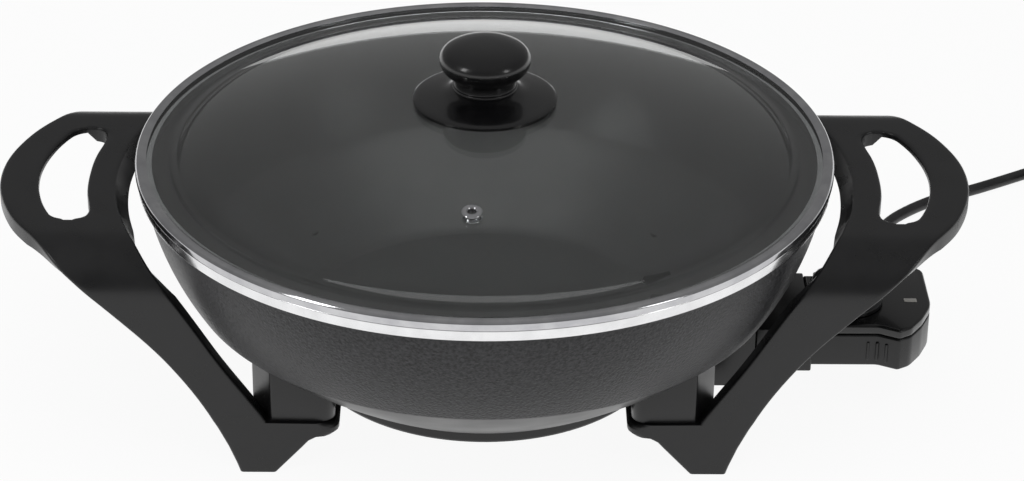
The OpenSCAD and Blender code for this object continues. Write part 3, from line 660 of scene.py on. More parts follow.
@dataclass
class Bowl:
    """The cast bowl with its polished rim, its lug for the control and the bosses of its blocks."""

    rim_r: float = 174.0
    rim_z: float = 133.0
    band_h: float = 5.5
    coat_r: float = 171.5
    wall: float = 3.5
    upper_mid: Point = (164.6, 100.0)
    crease: Point = (150.6, 71.0)
    lower_mid: Point = (126.0, 50.0)
    foot: Point = (95.0, 27.7)
    floor_z: float = 33.7
    recess: Point = (86.0, 29.2)
    lug: tuple = ((87, -20, 20.5), (114, 20, 38))
    boss_at: Point = (94.0, 75.0)
    boss_r: float = 5.0
    boss_foot: float = 34.0

    def __post_init__(self) -> None:
        """Works out the two arcs of the skin."""
        self.band_z = self.rim_z - self.band_h
        self.upper = circle_through((self.coat_r, self.band_z), self.upper_mid, self.crease)
        self.lower = circle_through(self.crease, self.lower_mid, self.foot)

    def skin(self, height: float, gap: float = 0.0) -> float:
        """Gives the radius of the skin, moved out by gap, at a height."""
        centre, radius = self.upper if height >= self.crease[1] else self.lower
        return centre.x + math.sqrt(max(0.0, (radius + gap) ** 2 - (height - centre.y) ** 2))

    def skin_height(self, radius: float, gap: float = 0.0) -> float:
        """Finds the height of the underside at a radius.

        Args:
            radius: the radius.
            gap: how far the skin is moved out.

        Returns:
            The height.
        """
        low, high = self.foot[1] - gap, self.rim_z
        for _ in range(40):
            middle = (low + high) / 2
            low, high = (middle, high) if self.skin(middle, gap) < radius else (low, middle)
        return low

    def outline(self) -> tuple[list[Point], list[int]]:
        """Draws the half section of the bowl.

        Returns:
            The outline, and a material number for each of its stretches.
        """
        crease_z, foot_z = self.crease[1], self.foot[1]
        rows = [(foot_z + (crease_z - foot_z) * k / 24, 0) for k in range(24)]
        rows += [(crease_z + step, int(step > 0)) for step in (-0.9, -0.3, 0.3, 0.9)]
        rows += [(crease_z + (self.band_z - crease_z) * k / 20, 1) for k in range(1, 21)]
        points: list[Point] = [(0, self.recess[1]), self.recess, (self.recess[0], foot_z)]
        points += [(self.skin(height), height) for height, _ in rows]
        zones = [0] * 3 + [zone for _, zone in rows[:-1]] + [2]
        inner = self.skin(self.rim_z, -self.wall)
        rim = rounded([(self.coat_r, self.band_z), (self.rim_r, self.band_z, 0.5), (self.rim_r, self.rim_z, 0.7),
                       (inner, self.rim_z, 1.2), (inner - 0.3, self.rim_z - 4)], 4, closed=False)[1:-1]
        points += rim
        zones += [2] * (len(rim) - 4)
        top = self.rim_z - 2
        inside = [top - (top - self.floor_z) * k / 49 for k in range(1, 50)]
        points += [(self.skin(height, -self.wall), height) for height in inside if abs(height - crease_z) >= 1.5]
        corner = points[-1]
        points[-1] = (corner[0] - 0.2, corner[1] + 0.4)
        points += [(corner[0] - 1.5, corner[1]), (0, self.floor_z)]
        return points, zones + [3] * (len(points) - len(zones))

    def build(self) -> None:
        """Makes the bowl with its lug and the four bosses that its blocks are screwed to."""
        outline, zones = self.outline()
        extra = [box_mesh(*self.lug, 1.2)]
        x, y = self.boss_at
        boss_top = self.skin_height(math.hypot(x, y)) + 1.5
        for at in ((-x, -y, 0), (-x, y, 0), (x, -y, 0), (x, y, 0)):
            boss = cylinder_mesh(self.boss_r, self.boss_foot, boss_top, 0.3)
            extra.append(moved(boss, Matrix.Translation(Vector(at) * MM)))
        looks = [Finishes.SMOOTH_COAT, Finishes.TEXTURED_COAT, Finishes.POLISHED_ALUMINIUM, Finishes.INNER_COAT]
        body = lathe_mesh(outline, 256, closed=False, zones=zones)
        place(joined([body, *extra]), "coated_bowl", looks, "base", "coated_bowl", "wok_pan")


# ---------------------------------------------------------------- lid


@dataclass
class Lid:
    """The glass dome in its steel ring, with vent eyelet and knob.

    The flat edge of the glass lies as deep as the lip under the top of the ring,
    and the skirt stands off the glass by its seat.
    """

    ring_z: float = 138.0
    ring_h: float = 5.0
    ring_r: float = 175.0
    lip: float = 0.5
    glass: float = 4.0
    rise: float = 27.0
    chord: float = 158.0
    vent_at: float = 101.0
    vent_turn: float = -3.3
    knob_top: float = 195.5
    skirt_r: float = 36.0
    skirt_h: float = 7.5
    seat: float = 0.1
    screw_r: float = 3.05

    def __post_init__(self) -> None:
        """Works out the sphere of the dome."""
        height = self.rise + self.lip
        self.dome_r = (self.chord**2 + height**2) / (2 * height)
        self.dome_c = self.ring_z - self.lip + height - self.dome_r

    def dome(self, radius: float, under: float = 0.0) -> float:
        """Gives the height of the glass at a radius, that far under its top face."""
        return self.dome_c + math.sqrt((self.dome_r - under) ** 2 - radius**2)

    def build(self) -> None:
        """Makes the pieces of the lid."""
        self.build_glass()
        self.build_ring()
        self.build_vent()
        self.build_knob()

    def build_glass(self) -> None:
        """Makes the dome with its flat edge."""
        top = self.ring_z - self.lip
        low = top - self.glass
        radii = [self.screw_r] + [self.chord * k / 40 for k in range(1, 40)]
        upper = [(r, self.dome(r)) for r in radii]
        lower = [(r, self.dome(r, self.glass)) for r in reversed(radii)]
        lower = [p for p in lower if p[1] > low + 1.2]
        corner = (lower[0][0] + 4.5, low, 9)
        bend = rounded([lower[0], corner, (172.6, low), (173, low + 0.6), (173, top - 0.6), (172.6, top),
                        (self.chord, top, 14), upper[-1]], 6, closed=False)
        outline = bend[1:] + upper[-2::-1] + lower[:0:-1] + [bend[0]]
        place(lathe_mesh(outline, 256), "glass_dome", [Finishes.TEMPERED_GLASS], "lid", "clear_glass", "lid_glass")

    def build_ring(self) -> None:
        """Makes the rolled steel ring round the glass."""
        out, top, low = self.ring_r, self.ring_z, self.ring_z - self.ring_h
        outline = rounded([
            (166.4, low - 4.6, 0.25), (167, low - 4.6, 0.25), (167, low, 0.2), (out, low, 1.1),
            (out, top - 1.2, 1.6), (out - 1.2, top + 0.3, 1.6), (171.6, top + 0.55, 2.2), (169.3, top - 0.4, 0.03),
            (169.4, top - 0.46, 0.03), (171.5, top - 0.46, 0.5), (out - 0.8, top - 0.8, 1.5),
            (out - 0.6, low + 0.42, 0.6), (166.4, low + 0.42, 0.4),
        ], 5)
        place(lathe_mesh(outline, 256), "steel_ring", [Finishes.POLISHED_STEEL], "lid", "polished_steel", "lid_ring",
              sharp=60)

    def build_vent(self) -> None:
        """Makes the rolled eyelet of the steam vent."""
        low = -self.glass
        outline = rounded([
            (2, low - 0.8, 0.7), (5, low - 0.8, 0.5), (5, low - 0.05, 0.2), (3.7, low - 0.05), (3.7, 0.05),
            (5, 0.05, 0.1), (5.1, 1.0, 0.7), (4.2, 1.75, 0.9), (2.6, 1.7, 0.7), (2, 0.9, 0.6),
        ], 5)
        tilt = math.asin(self.vent_at / self.dome_r)
        stand = (Matrix.Translation((0, 0, self.dome_c * MM))
                 @ Matrix.Rotation(math.radians(self.vent_turn), 4, "Z") @ Matrix.Rotation(tilt, 4, "X")
                 @ Matrix.Translation((0, 0, self.dome_r * MM)))
        mesh = moved(lathe_mesh(outline, 48), stand)
        place(mesh, "vent_rim", [Finishes.POLISHED_STEEL], "lid", "polished_steel", "vent_eyelet")

    def build_knob(self) -> None:
        """Makes the skirt and the knob."""
        skirt_r, screw, gloss = self.skirt_r, self.screw_r, [Finishes.GLOSS_PHENOLIC]
        foot = self.dome(skirt_r) + self.seat
        neck = foot + self.skirt_h
        side = smooth([(skirt_r, foot + 1.6), (skirt_r - 2, foot + 2.6), (skirt_r - 8, foot + 3.8),
                       (skirt_r - 15, foot + 5.2), (16.4, neck)], 6)
        under = [(r, self.dome(r) + self.seat) for r in (screw, 8, 16, 24, 30, 34)]
        outline = under + [(skirt_r - 0.3, foot - 0.02), (skirt_r, foot + 0.3)] + side + [(screw, neck)]
        place(lathe_mesh(outline, 160), "knob_collar", gloss, "lid", "gloss_black", "knob_skirt")
        side = rounded([(16.2, neck), (16.2, neck + 1.0, 0.4), (15.3, neck + 1.4, 0.3), (15.3, neck + 5.4, 1.2),
                        (17.2, neck + 6.4, 0.9)], 3, closed=False)
        side += smooth([(19.6, 179.6), (21.6, 182.0), (22.6, 184.4), (22.8, 186.6), (22.1, 189.0), (20.4, 191.2),
                        (17.6, 192.9), (13.4, 194.3), (7.5, 195.2), (0, self.knob_top)], 6)
        outline = [(0, neck + 13), (screw, neck + 13), (screw, neck)] + side
        place(lathe_mesh(outline, 160, closed=False), "knob_cap", gloss, "lid", "gloss_black", "knob_grip")


# ---------------------------------------------------------------- handles


@dataclass
class Station:
    """One row of a handle moulding.

    Attributes:
        at: distance from the middle of the handle, along the surface.
        inner: place of the edge towards the bowl.
        outer: place of the edge away from it.
        inner_round: radius of the inner edge.
        rim: depth of the side walls.
        skin: depth of the underside between them.
        lean: how far the inner wall leans towards the bowl.
        hole: both sides of the finger hole there, if any.
        walls: depth of the hole's wall on the side of the bowl, and on the other.
    """

    at: float
    inner: float
    outer: float
    inner_round: float
    rim: float
    skin: float
    lean: float = 0.0
    hole: Point | None = None
    walls: Point = (3.2, 3.2)


@dataclass
class HandleLeg:
    """One moulding of handle, two legs and two feet, on the right side."""

    handle_z: float = 122.0
    flat_half: float = 62.0
    bend_r: float = 26.0
    shell: float = 3.2
    rim: float = 8.0
    pad_z: float = 28.3
    pad_depth: float = 24.0
    edge_r: float = 1.7
    strip: float = 0.8
    arc: int = 4
    edge: tuple = (
        (0, 184.9, 243.8), (12, 184.4, 243.1), (22, 183.4, 241.3), (32, 181.8, 238.4), (42, 179.5, 234.6),
        (49, 177.3, 231.2), (55, 175.4, 227.6), (62, 173.0, 222.8), (72, 168.6, 215.6), (84, 162.2, 206.6),
        (94, 155.4, 196.6), (104, 148.9, 186.0), (114, 142.7, 175.8), (124, 136.7, 165.9), (134, 130.7, 157.0),
        (144, 124.2, 149.3), (154, 117.3, 142.4), (164, 110.6, 136.4), (172, 105.6, 132.2),
    )
    hole: tuple = (
        (0, 199.3, 224.2), (12, 199.0, 223.4), (22, 198.0, 221.6), (32, 196.2, 218.9), (40, 195.2, 215.8),
        (45, 196.2, 213.2), (48, 198.6, 210.0), (49.5, 202.0, 206.5),
    )
    foot_in: tuple = (
        (0, 102.5), (18.1, 86), (20.4, 80), (20.8, 73.6), (22.4, 71.4), (25, 71.2), (27.2, 72.6), (28.3, 75.4),
    )
    foot_out: tuple = ((0, 120.7), (4.8, 122.3), (14.8, 126.2), (25.5, 131.3), (28.3, 132.9))

    def __post_init__(self) -> None:
        """Works out the bend and the length of the leg."""
        self.bend = self.bend_r * math.pi / 2
        self.bend_z = self.handle_z - self.bend_r
        self.leg_end = self.flat_half + self.bend + self.bend_z - self.pad_z
        self.hole_end = self.hole[-1][0]

    @staticmethod
    def read(table: tuple, at: float, column: int) -> float:
        """Reads a column of a table at a distance, on a smooth curve through its rows.

        Args:
            table: rows that start with their distance.
            at: the distance.
            column: number of the column.

        Returns:
            The value there.
        """
        i = max(k for k in range(len(table) - 1) if k == 0 or table[k][0] <= at)

        def slope(k: int) -> float:
            """Gives the slope of the column at row k.

            Args:
                k: number of the row.

            Returns:
                Its change per millimetre.
            """
            if k == 0:
                return 0.0
            a, b = (k - 1, k) if k == len(table) - 1 else (k - 1, k + 1)
            return (table[b][column] - table[a][column]) / (table[b][0] - table[a][0])

        step = table[i + 1][0] - table[i][0]
        u = min(1.0, (at - table[i][0]) / step)
        a, b = table[i][column], table[i + 1][column]
        return (a + (b - a) * u * u * (3 - 2 * u)
                + step * (slope(i) * u * (1 - u) ** 2 - slope(i + 1) * u * u * (1 - u)))

    @staticmethod
    def line(table: tuple, at: float) -> float:
        """Reads a two-column table on straight lines.

        Args:
            table: rows of a height and a value.
            at: the height.

        Returns:
            The value there.
        """
        for (a, x), (b, y) in zip(table, table[1:]):
            if at <= b:
                return x + (y - x) * (at - a) / (b - a)
        return table[-1][1]

    def surface(self, x: float, at: float, depth: float) -> tuple[float, float, float]:
        """Finds a point of the moulding.

        Args:
            x: its place across, from the middle of the wok.
            at: its distance along the surface, below 0 at the front.
            depth: how far it lies under the surface.

        Returns:
            The point.
        """
        q, side = abs(at), -1 if at < 0 else 1
        if q <= self.flat_half:
            return (x, at, self.handle_z - depth)
        if q <= self.flat_half + self.bend:
            angle = (q - self.flat_half) / self.bend_r
            reach = self.bend_r - depth
            return (x, side * (self.flat_half + reach * math.sin(angle)), self.bend_z + reach * math.cos(angle))
        return (x, side * (self.flat_half + self.bend_r - depth), self.bend_z - (q - self.flat_half - self.bend))

    def stations(self) -> list[Station]:
        """Lists the rows from the middle of the handle down to the sole.

        Returns:
            One row for each distance.
        """
        ats = [2.4 * k for k in range(18)] + [44, 45, 46, 47, 48, 48.6, 49.1, 49.5]
        near = self.hole_end + self.shell
        ats += [self.hole_end + self.edge_r * k / 4 for k in range(1, 5)]
        ats += [near, near + self.strip, 55, 58, self.flat_half]
        ats += [self.flat_half + self.bend * k / 14 for k in range(1, 15)]
        leg = self.leg_end - self.flat_half - self.bend
        ats += [self.flat_half + self.bend + (leg - 0.3) * k / 15 for k in range(1, 16)]
        rows = []
        for at in ats:
            ease = max(0.0, min(1.0, (at - 40) / 45))
            sides = min(at, self.hole_end)
            rows.append(Station(
                at, self.read(self.edge, at, 1), self.read(self.edge, at, 2), self.edge_r, self.rim, self.shell,
                5.5 * (1 - ease * ease * (3 - 2 * ease)),
                (self.read(self.hole, sides, 1), self.read(self.hole, sides, 2)),
                (self.rim if at <= near else self.shell, self.shell),
            ))
        ceiling, sole = self.pad_z - self.shell, self.shell
        for z in (28.3, 27.9, 27.2, 26.2, ceiling, ceiling - 0.05, 23.7, 22.4, 21.6, 20.8, 20.4, 19.4, 18.1, 14.8,
                  11, 7.8, 4.8, sole + 0.05, sole, 1.6, 0.5, 0):
            solid = z >= ceiling or z <= sole
            inner = self.line(self.foot_in, z)
            turn = max(self.edge_r, min(8.0, 8.0 - (inner - 74) * 0.5)) if z > 18 else self.edge_r
            rows.append(Station(self.leg_end + self.pad_z - z, inner, self.line(self.foot_out, z), turn,
                                self.pad_depth, self.pad_depth if solid else self.shell))
        return rows

    def section(self, row: Station) -> tuple[list[Point], list[Point]]:
        """Draws one row.

        Args:
            row: the station.

        Returns:
            The top points and the points under them, each as (x, depth).
        """
        n, t, r = self.arc, self.shell, self.edge_r
        solid = row.skin >= row.rim
        turn = [math.pi / 2 * k / n for k in range(n + 1)]
        back = row.inner_round if solid and row.inner_round > r else 0.0
        top = [(row.inner + row.inner_round * (1 - math.sin(math.pi / 2 - a)),
                row.inner_round * (1 - math.sin(a))) for a in turn]
        if solid:
            low = [(row.inner + back * (1 - math.cos(a)) + 0.2 * k, row.rim - back * (1 - math.sin(a)))
                   for k, a in enumerate(turn)]
        else:
            low = [(row.inner - row.lean + t * k / n, row.rim) for k in range(n + 1)]
        near_in = max(row.inner + t + self.strip, top[-1][0] + 0.3)
        far_in = row.outer - t - self.strip
        if row.hole and row.at <= self.hole_end + t + self.strip + 0.1:
            left, right = row.hole
            past = max(0.0, min(1.0, 1 - (row.at - self.hole_end) / r))
            h = r if row.at <= self.hole_end else r * (1 - math.sqrt(1 - past * past))
            middle_top = [(near_in, 0.0), (left - t - self.strip, 0.0)]
            middle_low = [(near_in, t), (left - t - self.strip, t)]
            for k, a in enumerate(turn):
                middle_top.append((left - r + r * math.sin(a), h * (1 - math.cos(a))))
                middle_low.append((left - t + t * k / n, row.walls[0]))
            for k, a in enumerate(reversed(turn)):
                middle_top.append((right + r - r * math.sin(a), h * (1 - math.cos(a))))
                middle_low.append((right + t * k / n, row.walls[1]))
            middle_top += [(right + t + self.strip, 0.0), (far_in, 0.0)]
            middle_low += [(right + t + self.strip, t), (far_in, t)]
        else:
            count = 2 * (n + 1) + 4
            xs = [near_in + (far_in - near_in) * k / (count - 1) for k in range(count)]
            middle_top = [(x, 0.0) for x in xs]
            middle_low = [(x, row.skin) for x in xs]
        top += middle_top
        low += middle_low
        for k, a in enumerate(turn):
            top.append((row.outer - r * (1 - math.sin(a)), r * (1 - math.cos(a))))
            low.append((row.outer - (0.0 if solid else t) * (1 - k / n) - (0.2 * (n - k) if solid else 0),
                        row.rim))
        return top, low

    def blended(self, rows: list[Station]) -> list[tuple[list[Point], list[Point]]]:
        """Draws all rows, with the columns of the hole spreading evenly past its end.

        Args:
            rows: the stations.

        Returns:
            The top points and the points under them of each row.
        """
        drawn = [self.section(row) for row in rows]
        end = self.hole_end + self.shell + self.strip
        source = next(k for k, row in enumerate(rows) if row.at >= end - 1e-6)
        for k, row in enumerate(rows):
            u = (row.at - end) / 14
            if not 0 < u < 1 or k <= source:
                continue
            top, low = drawn[k]
            first, last = self.arc + 1, len(top) - self.arc - 2
            held = drawn[source][0]
            width = held[last][0] - held[first][0]
            for j in range(first, last + 1):
                share = (held[j][0] - held[first][0]) / width
                even = (j - first) / (last - first)
                x = low[first][0] + (low[last][0] - low[first][0]) * (share * (1 - u) + even * u)
                top[j], low[j] = (x, top[j][1]), (x, low[j][1])
        return drawn

    def mesh(self) -> Mesh:
        """Makes the moulding of the right side.

        Returns:
            Its mesh.
        """
        half = self.stations()
        drawn = self.blended(half)
        order = list(range(len(half) - 1, 0, -1)) + list(range(len(half)))
        signs = [-1] * (len(half) - 1) + [1] * len(half)
        width = len(drawn[0][0])
        points, faces = [], []
        for layer in (0, 1):
            for k, sign in zip(order, signs):
                points += [self.surface(x, sign * half[k].at, d) for x, d in drawn[k][layer]]
        base = len(order) * width
        middle = 2 * self.arc + 3

        def filled(i: int, j: int) -> bool:
            """Tells whether a cell of the grid is solid.

            Args:
                i: its row.
                j: its column.

            Returns:
                False in the finger hole and outside the grid.
            """
            if not (0 <= i < len(order) - 1 and 0 <= j < width - 1):
                return False
            inside = max(half[order[i]].at, half[order[i + 1]].at) <= self.hole_end
            return not (inside and j == middle)

        for i in range(len(order) - 1):
            for j in range(width - 1):
                if not filled(i, j):
                    continue
                a, b = i * width + j, i * width + j + 1
                c, d = b + width, a + width
                faces.append((a, b, c, d))
                faces.append((a + base, d + base, c + base, b + base))
                if not filled(i, j - 1):
                    faces.append((a, d, d + base, a + base))
                if not filled(i, j + 1):
                    faces.append((c, b, b + base, c + base))
                if not filled(i - 1, j):
                    faces.append((b, a, a + base, b + base))
                if not filled(i + 1, j):
                    faces.append((d, c, c + base, d + base))
        return mesh_of(points, faces)

    def build(self) -> None:
        """Makes both mouldings."""
        right = self.mesh()
        for name, side in (("right", 1), ("left", -1)):
            mesh = right.copy()
            if side < 0:
                moved(mesh, Matrix.Scale(-1, 4, (1, 0, 0)))
            place(mesh, f"handle_{name}", [Finishes.SATIN_PHENOLIC], "base", "satin_black", f"handle_leg_{name}")


@dataclass
class Blocks:
    """The four blocks that stand on the feet and carry the bowl, a clear gap under its skin."""

    pad_z: float = HandleLeg.pad_z
    clear: float = 0.3

    def outline(self) -> list[Point]:
        """Draws the plan of the block at the back right.

        Returns:
            Its outline, with points at most a few millimetres apart.
        """
        corners = [(73.4, 65, 7), (115, 65, 1), (114.6, 69.5, 1), (104.6, 86.4, 1.6), (73.4, 86.4, 7)]
        dense: list[Point] = []
        points = rounded(corners, 6)
        for i, a in enumerate(points):
            b = points[(i + 1) % len(points)]
            steps = max(1, int(math.dist(a, b) / 3))
            dense += [tuple(Vector(a).lerp(Vector(b), k / steps)) for k in range(steps)]
        return dense

    def build(self, bowl: Bowl) -> None:
        """Makes the blocks up to the underside of the bowl.

        Args:
            bowl: the bowl that they carry.
        """
        outline = self.outline()
        edge = 0.7
        plans = ((shrunk(outline, edge), 0), (shrunk(outline, edge * 0.3), edge * 0.3), (outline, edge))
        rings = [[(x, y, self.pad_z + height) for x, y in plan] for plan, height in plans]
        rings += [[(x, y, bowl.skin_height(math.hypot(x, y), self.clear)) for x, y in plan]
                  for plan in (outline, shrunk(outline, 3))]
        solid = stacked_mesh(rings)
        for name, x, y in (("front_left", -1, -1), ("front_right", 1, -1), ("rear_left", -1, 1),
                           ("rear_right", 1, 1)):
            mesh = moved(solid.copy(), Matrix.Diagonal((x, y, 1, 1)))
            place(mesh, f"stand_{name}", [Finishes.SATIN_PHENOLIC], "base", "satin_black", f"block_{name}")


# ---------------------------------------------------------------- heat control


@dataclass
class HeatControl:
    """The plug-in control with its housing, dial, lens and strain relief."""

    half: float = 26.0
    low: float = 26.0
    split: float = 44.0
    high: float = 49.5
    collar_x: float = 138.3
    collar_half: float = 29.0
    collar_low: float = 24.1
    nose: tuple = ((124, -26, 20), (144, 26, 41))
    body_x: float = 167.3
    rib_x: Point = (195.4, 196.8)
    rib_z: Point = (29.5, 40.0)
    rib_step: float = 4.5
    rib_reach: tuple = (0.8, 1.4, 3.0)
    lens_x: Point = (216.7, 223.3)
    lens_half: float = 1.75
    dial_x: float = 186.0
    dial_r: float = 19.5
    dial_h: float = 12.0
    dial_ribs: int = 24
    relief_at: tuple = (200.0, 20.0, 37.0)
    relief_len: float = 34.0

    def plan(self) -> list[Point]:
        """Draws the plan of the housing.

        Returns:
            Its outline.
        """
        return rounded([(self.body_x, -self.half), (201, -self.half, 8), (211.2, -self.half - 5.0, 2.5),
                        (217.6, -27.2, 9), (224.2, -17.4, 24), (230.4, -3.5, 24), (230.6, 37.0, 6),
                        (211.2, 32.5, 8), (201, self.half, 8), (self.body_x, self.half)], 6, closed=False)

    def build(self) -> None:
        """Makes the pieces of the control."""
        plan = self.plan()
        shell = [prism_mesh(plan, self.low, self.split, 1.2, 3),
                 box_mesh((self.collar_x, -self.collar_half, self.collar_low),
                          (self.body_x, self.collar_half, self.high - 0.3), 0.9),
                 box_mesh(*self.nose, 1.0)]
        for i, reach in enumerate(self.rib_reach):
            (left, right), (low, high) = self.rib_x, self.rib_z
            x = self.rib_step * i
            shell.append(box_mesh((left + x, -self.half - reach, low), (right + x, -self.half + 2, high), 0.4))
        place(joined(shell), "control_shell", [Finishes.SATIN_PHENOLIC], "control", "satin_black", "control_bottom")
        lid = prism_mesh(plan, self.split, self.high, 1.6, 5)
        place(lid, "control_panel", [Finishes.GLOSS_PHENOLIC], "control", "gloss_black", "control_top")
        left, right = self.lens_x
        lens = box_mesh((left, -self.lens_half, self.high - 1), (right, self.lens_half, self.high + 0.3), 0.25)
        place(lens, "lamp_lens", [Finishes.SMOKED_LENS], "control", "lamp_lens", "indicator_lens")
        self.build_dial()
        self.build_relief()

    def build_dial(self) -> None:
        """Makes the dial with its ring of ribs and its pointer line."""
        base, top = self.high + 0.3, self.high + 0.3 + self.dial_h
        outline = rounded([(0, base), (self.dial_r, base, 0.3), (self.dial_r, base + 2.4, 0.8),
                           (self.dial_r - 1.4, base + 3.2, 0.8), (self.dial_r - 2.2, top, 1.6), (0, top)], 4,
                          closed=False)
        body = lathe_mesh(outline, 120, closed=False)
        rib = box_mesh((-1.1, -0.8, base + 3.4), (0.5, 0.8, top - 1.2), 0.35)
        ribs = ring_of_copies("dial_ribs", rib, self.dial_ribs, self.dial_r - 1.9, Finishes.SATIN_PHENOLIC)
        mark = box_mesh((-self.dial_r + 4, -0.6, top - 0.4), (-self.dial_r + 13, 0.6, top), 0.15)
        mesh = moved(joined([body, ribs, mark]), Matrix.Translation((self.dial_x * MM, 0, 0)))
        place(mesh, "heat_dial", [Finishes.SATIN_PHENOLIC], "dial", "satin_black", "dial")

    def build_relief(self) -> None:
        """Makes the ribbed sleeve that the cord leaves through."""
        length = self.relief_len
        outline: list[tuple[float, ...]] = [(0, 0), (5.5, 0), (5.5, 8, 0.4)]
        for i in range(5):
            wide, slim = 5.5 - 0.2 * i, 4.4 - 0.12 * i
            outline += [(wide, 10 + 4 * i, 0.4), (slim, 10.6 + 4 * i, 0.3), (slim, 12 + 4 * i, 0.3),
                        (wide - 0.1, 12.6 + 4 * i, 0.4)]
        outline += [(4.4, length - 1, 0.5), (4, length, 0.3), (0, length)]
        mesh = lathe_mesh(rounded(outline, 2, closed=False), 40, closed=False)
        turn = Matrix.Translation(Vector(self.relief_at) * MM) @ Matrix.Rotation(-math.pi / 2, 4, "X")
        place(moved(mesh, turn), "cord_sleeve", [Finishes.CORD_JACKET], "control", "cord_black", "strain_relief",
              sharp=50)


# ---------------------------------------------------------------- cord


@dataclass
class Cord:
    """The mains cord with its free run, its coil and the plug.

    The coil winds inwards for turns_in degrees, then outwards up to coil_end.
    """

    diameter: float = 6.5
    coil_centre: Point = (368.0, 206.0)
    coil_r: float = 43.0
    coil_gap: float = 0.7
    coil_lift: float = 1.3
    start_angle: float = 115.0
    turns_in: float = 630.0
    coil_end: int = 1185
    relief_end: tuple = (200.0, 54.0, 37.0)
    plug_len: float = 50.0
    plug_r: float = 18.6
    route: tuple = (
        (200, 72, 36.6), (202, 90, 31), (206, 110, 19), (212, 130, 9), (221, 150, 4.1), (236, 174, 3.3),
        (260, 195, 3.3), (289, 211, 3.3), (320, 230, 3.3),
    )

    def __post_init__(self) -> None:
        """Works out where the coil starts."""
        self.pitch = self.diameter + self.coil_gap
        self.coil_z = self.diameter / 2 + self.coil_lift
        a = math.radians(self.start_angle)
        self.coil_start = Vector((self.coil_centre[0] + self.coil_r * math.cos(a),
                                  self.coil_centre[1] + self.coil_r * math.sin(a), self.coil_z))
        self.coil_way = Vector((math.sin(a), -math.cos(a), 0))

    def coil_point(self, wound: float) -> Vector:
        """Finds a point of the coil.

        Args:
            wound: the degrees from its start.

        Returns:
            The point.
        """
        a = math.radians(self.start_angle - wound)
        least = self.coil_r - self.pitch * self.turns_in / 360
        r = (self.coil_r - self.pitch * wound / 360 if wound <= self.turns_in
             else least + self.pitch * (wound - self.turns_in) / 360)
        u = max(0.0, min(1.0, (wound - self.turns_in + 90) / 180))
        return Vector((self.coil_centre[0] + r * math.cos(a), self.coil_centre[1] + r * math.sin(a),
                       self.coil_z + self.pitch * u * u * (3 - 2 * u)))

    def path(self) -> list[Vector]:
        """Lists the points of the whole cord, from the sleeve to the plug.

        Returns:
            The points of its centre line.
        """
        start = Vector(self.relief_end)
        knots = [*self.route, tuple(self.coil_start - self.coil_way * 12)]
        points = [start, start + Vector((0, self.diameter, 0))]
        points += [Vector(p) for p in smooth(knots, 6)]
        points += [self.coil_start - self.coil_way * self.diameter, self.coil_start,
                   self.coil_start + self.coil_way * self.diameter]
        points += [self.coil_point(wound) for wound in range(15, self.coil_end + 1, 5)]
        last = points[-1]
        tail = [last + Vector((1.6, -16, 2)), last + Vector((3.4, -32, 5.6)),
                Vector((last.x + 4, last.y - 46, self.plug_r + 0.1))]
        self.plug_at = tail[2] + Vector((0, -12, 0))
        return points + tail + [self.plug_at]

    def build(self) -> None:
        """Makes the cord and the pieces on it."""
        path = self.path()
        cord = place(tube_mesh(path, self.diameter / 2 - 0.01, 14), "mains_cord", [Finishes.CORD_JACKET], "control",
                     "cord_black", "cord_run", "cord_coil", sharp=50)
        plug = self.build_plug()

    def build_plug(self) -> Object:
        """Makes the moulded body of the plug.

        Returns:
            The piece.
        """
        r, n = self.plug_r, self.plug_len
        outline = rounded([(0, 0), (4.6, 0, 0.3), (5.6, 3, 2), (6.6, 12, 4), (9.5, 17, 4), (15.6, 21, 3),
                           (r - 0.8, 25, 2), (r, 28, 2), (r, n, 1.0), (0, n)], 4, closed=False)
        turn = Matrix.Translation(self.plug_at * MM) @ Matrix.Rotation(math.pi / 2, 4, "X")
        mesh = moved(lathe_mesh(outline, 72, closed=False), turn)
        return place(mesh, "plug_moulding", [Finishes.CORD_JACKET], "control", "cord_black", "plug_body", sharp=50)


# ---------------------------------------------------------------- studio


